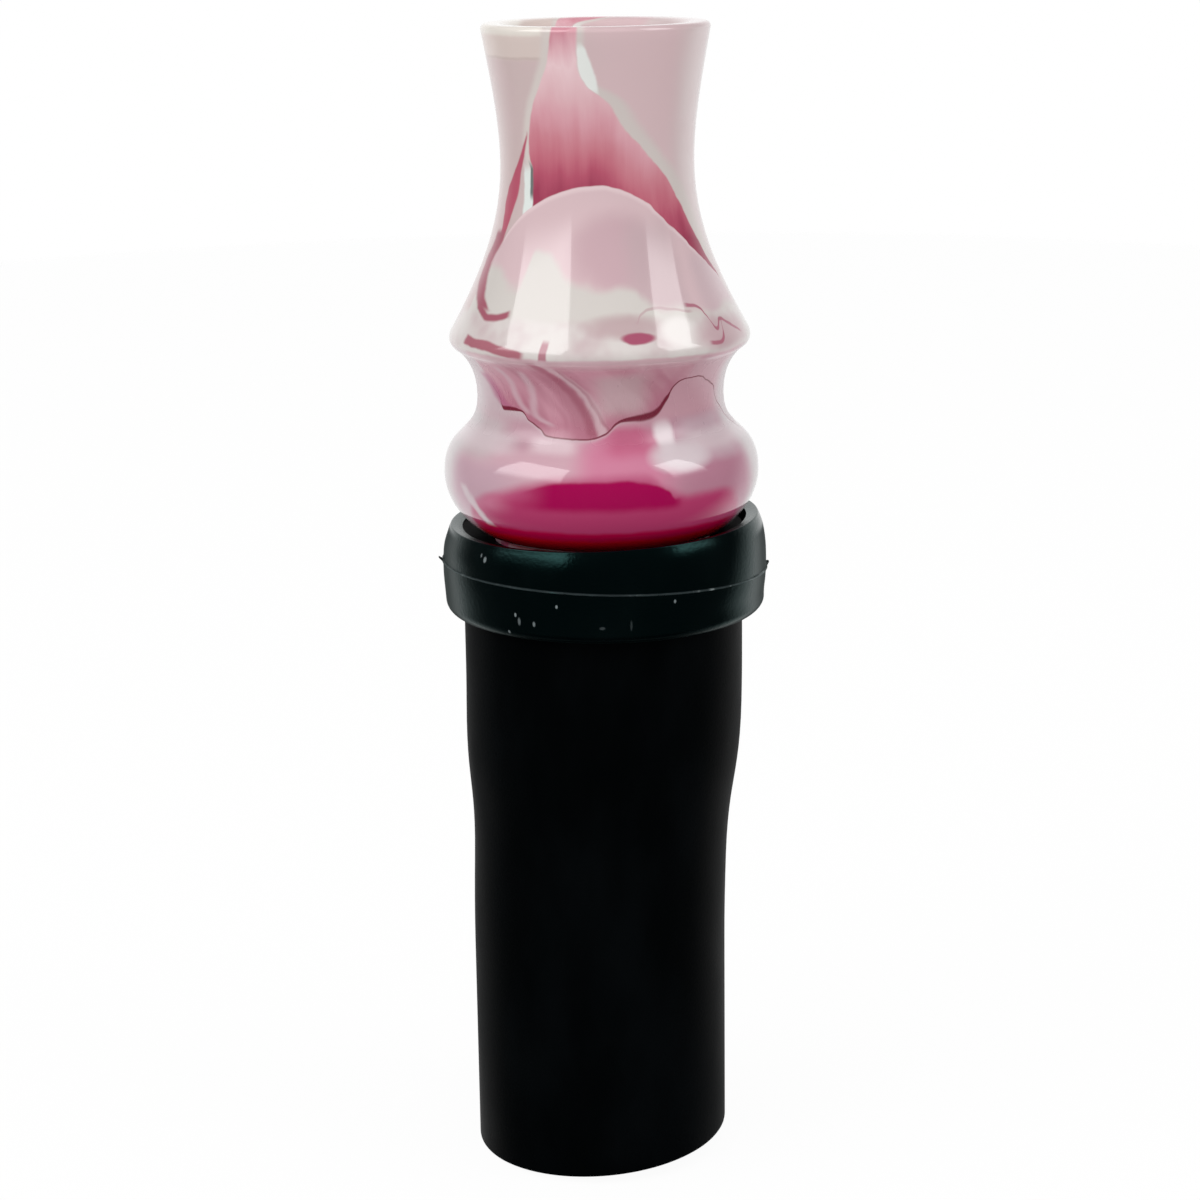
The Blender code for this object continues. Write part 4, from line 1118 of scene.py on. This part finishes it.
def make_softbox(name, azimuth, half_turn):
    """An upright soft lamp beside the object, at an azimuth from the camera's side, right positive."""
    turn = math.radians(azimuth)
    way = Vector((math.sin(turn), -math.cos(turn), 0.0))
    low, high = (SOFTBOX_AIM_Z + SOFTBOX_AWAY * math.tan(math.radians(rise)) for rise in SOFTBOX_RISE)
    lamp = bpy.data.lights.new(name, "AREA")
    lamp.shape = "RECTANGLE"
    lamp.size, lamp.size_y = 2 * SOFTBOX_AWAY * math.tan(math.radians(half_turn)), high - low
    lamp.energy = SOFTBOX_GLOW * math.pi * lamp.size * lamp.size_y
    fade_lower_edge(lamp)
    box = bpy.data.objects.new(name, lamp)
    bpy.context.scene.collection.objects.link(box)
    box.location = way * SOFTBOX_AWAY + Vector((0.0, 0.0, (low + high) / 2))
    box.rotation_euler = (-way).to_track_quat("-Z", "Y").to_euler()


def fade_lower_edge(lamp):
    """Let a softbox's cloth grow dimmer towards its lower edge."""
    lamp.use_nodes = True
    nodes = lamp.node_tree.nodes
    cloth = outputs(nodes.new("ShaderNodeNewGeometry"))["Parametric"]
    up = split(cloth)[1]
    join(ease(up, 0.0, SOFTBOX_FADE), nodes["Emission"].inputs["Strength"])


def room_in_gloss(ray):
    """How white the room is to a mirrored ray: dark behind the camera, overhead and straight below."""
    across, away, up = split(ray)
    aside = away + across * ROOM_LEAN_RIGHT - up * ROOM_LEAN_UP
    white = fit(aside, *ROOM_EDGE, ROOM_BEHIND_CAMERA, 1.0, smooth=True)
    return white * ease(up, *ROOM_BELOW)


def make_world():
    """A white room: full white to the eye, softer as light, and dark in part to mirrored rays."""
    world = bpy.data.worlds.new("white_room")
    bpy.context.scene.world = world
    world.use_nodes = True
    nodes = world.node_tree.nodes
    nodes["Background"].inputs["Color"].default_value = (1.0, 1.0, 1.0, 1.0)
    rays = outputs(nodes.new("ShaderNodeLightPath"))
    ray = outputs(nodes.new("ShaderNodeTexCoord"))["Generated"]
    away, up = split(ray)[1:]
    seen = calc("MAXIMUM", rays["Is Camera Ray"], rays["Is Transmission Ray"])
    mirrored = rays["Is Glossy Ray"] * room_in_gloss(ray)
    fill = fit(away, *ROOM_FILL_DEPTH, ROOM_FILL_FRONT, ROOM_FILL_BACK, smooth=True)
    fill = fill + fit(up, *ROOM_FILL_HEIGHT, 0.0, ROOM_FILL_TOP, smooth=True)
    light = mirrored + (1.0 - rays["Is Glossy Ray"]) * fill
    join(calc("MAXIMUM", seen, light), nodes["Background"].inputs["Strength"])


def mix_shaders(mask, under, over):
    """One shader node shown over another through a mask."""
    node = node_after(mask, "MixShader")
    for shader, socket in zip((under, over), node.inputs[1:]):
        join(Value(shader.outputs[0]), socket)
    return node


def floor_material():
    """White to the eye and to mirrored rays, with a shadow left in it; clear from below and at its rim."""
    material, shader, place = new_material("white_floor")
    shader.inputs["Base Color"].default_value = FLOOR_WHITE
    shader.inputs["Roughness"].default_value = FLOOR_ROUGHNESS
    nodes = material.node_tree.nodes
    rays, side = outputs(nodes.new("ShaderNodeLightPath")), outputs(nodes.new("ShaderNodeNewGeometry"))
    seen = calc("MAXIMUM", rays["Is Camera Ray"], rays["Is Glossy Ray"])
    seen = calc("MAXIMUM", seen, rays["Is Transmission Ray"])
    ray = node_after(side["Incoming"], "VectorMath", operation="SCALE", Scale=-1.0)
    unseen = 1.0 - room_in_gloss(Value(ray.outputs[0]))
    glow = nodes.new("ShaderNodeEmission")
    join(1.0 - rays["Is Glossy Ray"] * unseen, glow.inputs["Strength"])
    whitened = mix_shaders(seen * FLOOR_GLOW, shader, glow)
    from_middle = node_after(place, "VectorMath", operation="DISTANCE")
    from_middle.inputs[1].default_value = (0.0, (FLOOR_R - FLOOR_FRONT) / MM, 0.0)
    rim = ease(Value(from_middle.outputs["Value"]), FLOOR_RIM * FLOOR_R / MM, FLOOR_R / MM)
    clear = nodes.new("ShaderNodeBsdfTransparent")
    cloth = mix_shaders(calc("MAXIMUM", rim, side["Backfacing"]), whitened, clear)
    join(Value(cloth.outputs[0]), nodes["Material Output"].inputs["Surface"])
    return material


def make_floor():
    """A round white floor under and behind the object, which keeps its shadow."""
    start_clean()
    bpy.ops.mesh.primitive_circle_add(vertices=FLOOR_SIDES, radius=FLOOR_R, fill_type="NGON",
                                      location=(0, FLOOR_R - FLOOR_FRONT, 0))
    bpy.ops.object.transform_apply(location=True, rotation=True, scale=True)
    floor = bpy.context.object
    floor.name = "white_floor"
    floor.data.materials.append(floor_material())


def put(piece, body, node):
    """Carry a finished piece on a body, in place of a CAD node."""
    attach(piece, body)
    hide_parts(node)


turn_and_height = turn_and_height_group()
marbled = marbled_group(turn_and_height)
grain = rubber_grain_group()
acrylic = acrylic_material(marbled, turn_and_height)
collar_rubber = collar_material(grain, turn_and_height)
tube_rubber = rubber_material("matt_black_rubber", grain, (1, 3, 4), (4, 7, 9), roughness=(0.5, 0.62),
                              grain_size=0.25, bump=0.2, specular=0.03)[0]
plug_plastic = streaked_material("turned_black_plastic", (20, 20, 22), (34, 34, 36), roughness=(0.22, 0.4),
                                 scale=0.8, stretch=(0.2, 0.2, 4.0))
board_plastic = streaked_material("milled_ivory_plastic", (214, 208, 192), (226, 222, 208),
                                  roughness=(0.2, 0.36), scale=0.9, stretch=(3.0, 3.0, 0.15))
reed_film = streaked_material("clear_reed_film", (222, 222, 212), (234, 234, 228), roughness=(0.12, 0.28),
                              scale=0.6, stretch=(2.0, 1.0, 0.2))
seal_rubber = rubber_material("seal_black_rubber", grain, (10, 10, 11), (20, 20, 21), roughness=(0.4, 0.55),
                              grain_size=0.2, bump=0.2, specular=0.4)[0]
cork = cork_material()

put(make_mouthpiece(acrylic), "mouthpiece", "mouthpiece")
put(make_collar(collar_rubber), "collar", "collar_ring")
put(make_tube(tube_rubber), "tube", "resonator_tube")
put(make_plug(plug_plastic), "insert", "insert_plug")
put(make_tone_board(board_plastic), "insert", "tone_board")
put(make_cork(cork), "insert", "cork_wedge")
for node, height in SEAL_HEIGHTS.items():
    put(make_seal(node.replace("o_ring", "seal"), height, seal_rubber), "seals", node)
for node, back, tip in REEDS:
    put(make_reed(node.replace("reed", "film_reed"), back, tip, reed_film), node, node)

make_camera()
for name, azimuth, half_turn in SOFTBOXES:
    make_softbox(name, azimuth, half_turn)
make_world()
make_floor()
bpy.context.scene.view_settings.view_transform = "Standard"
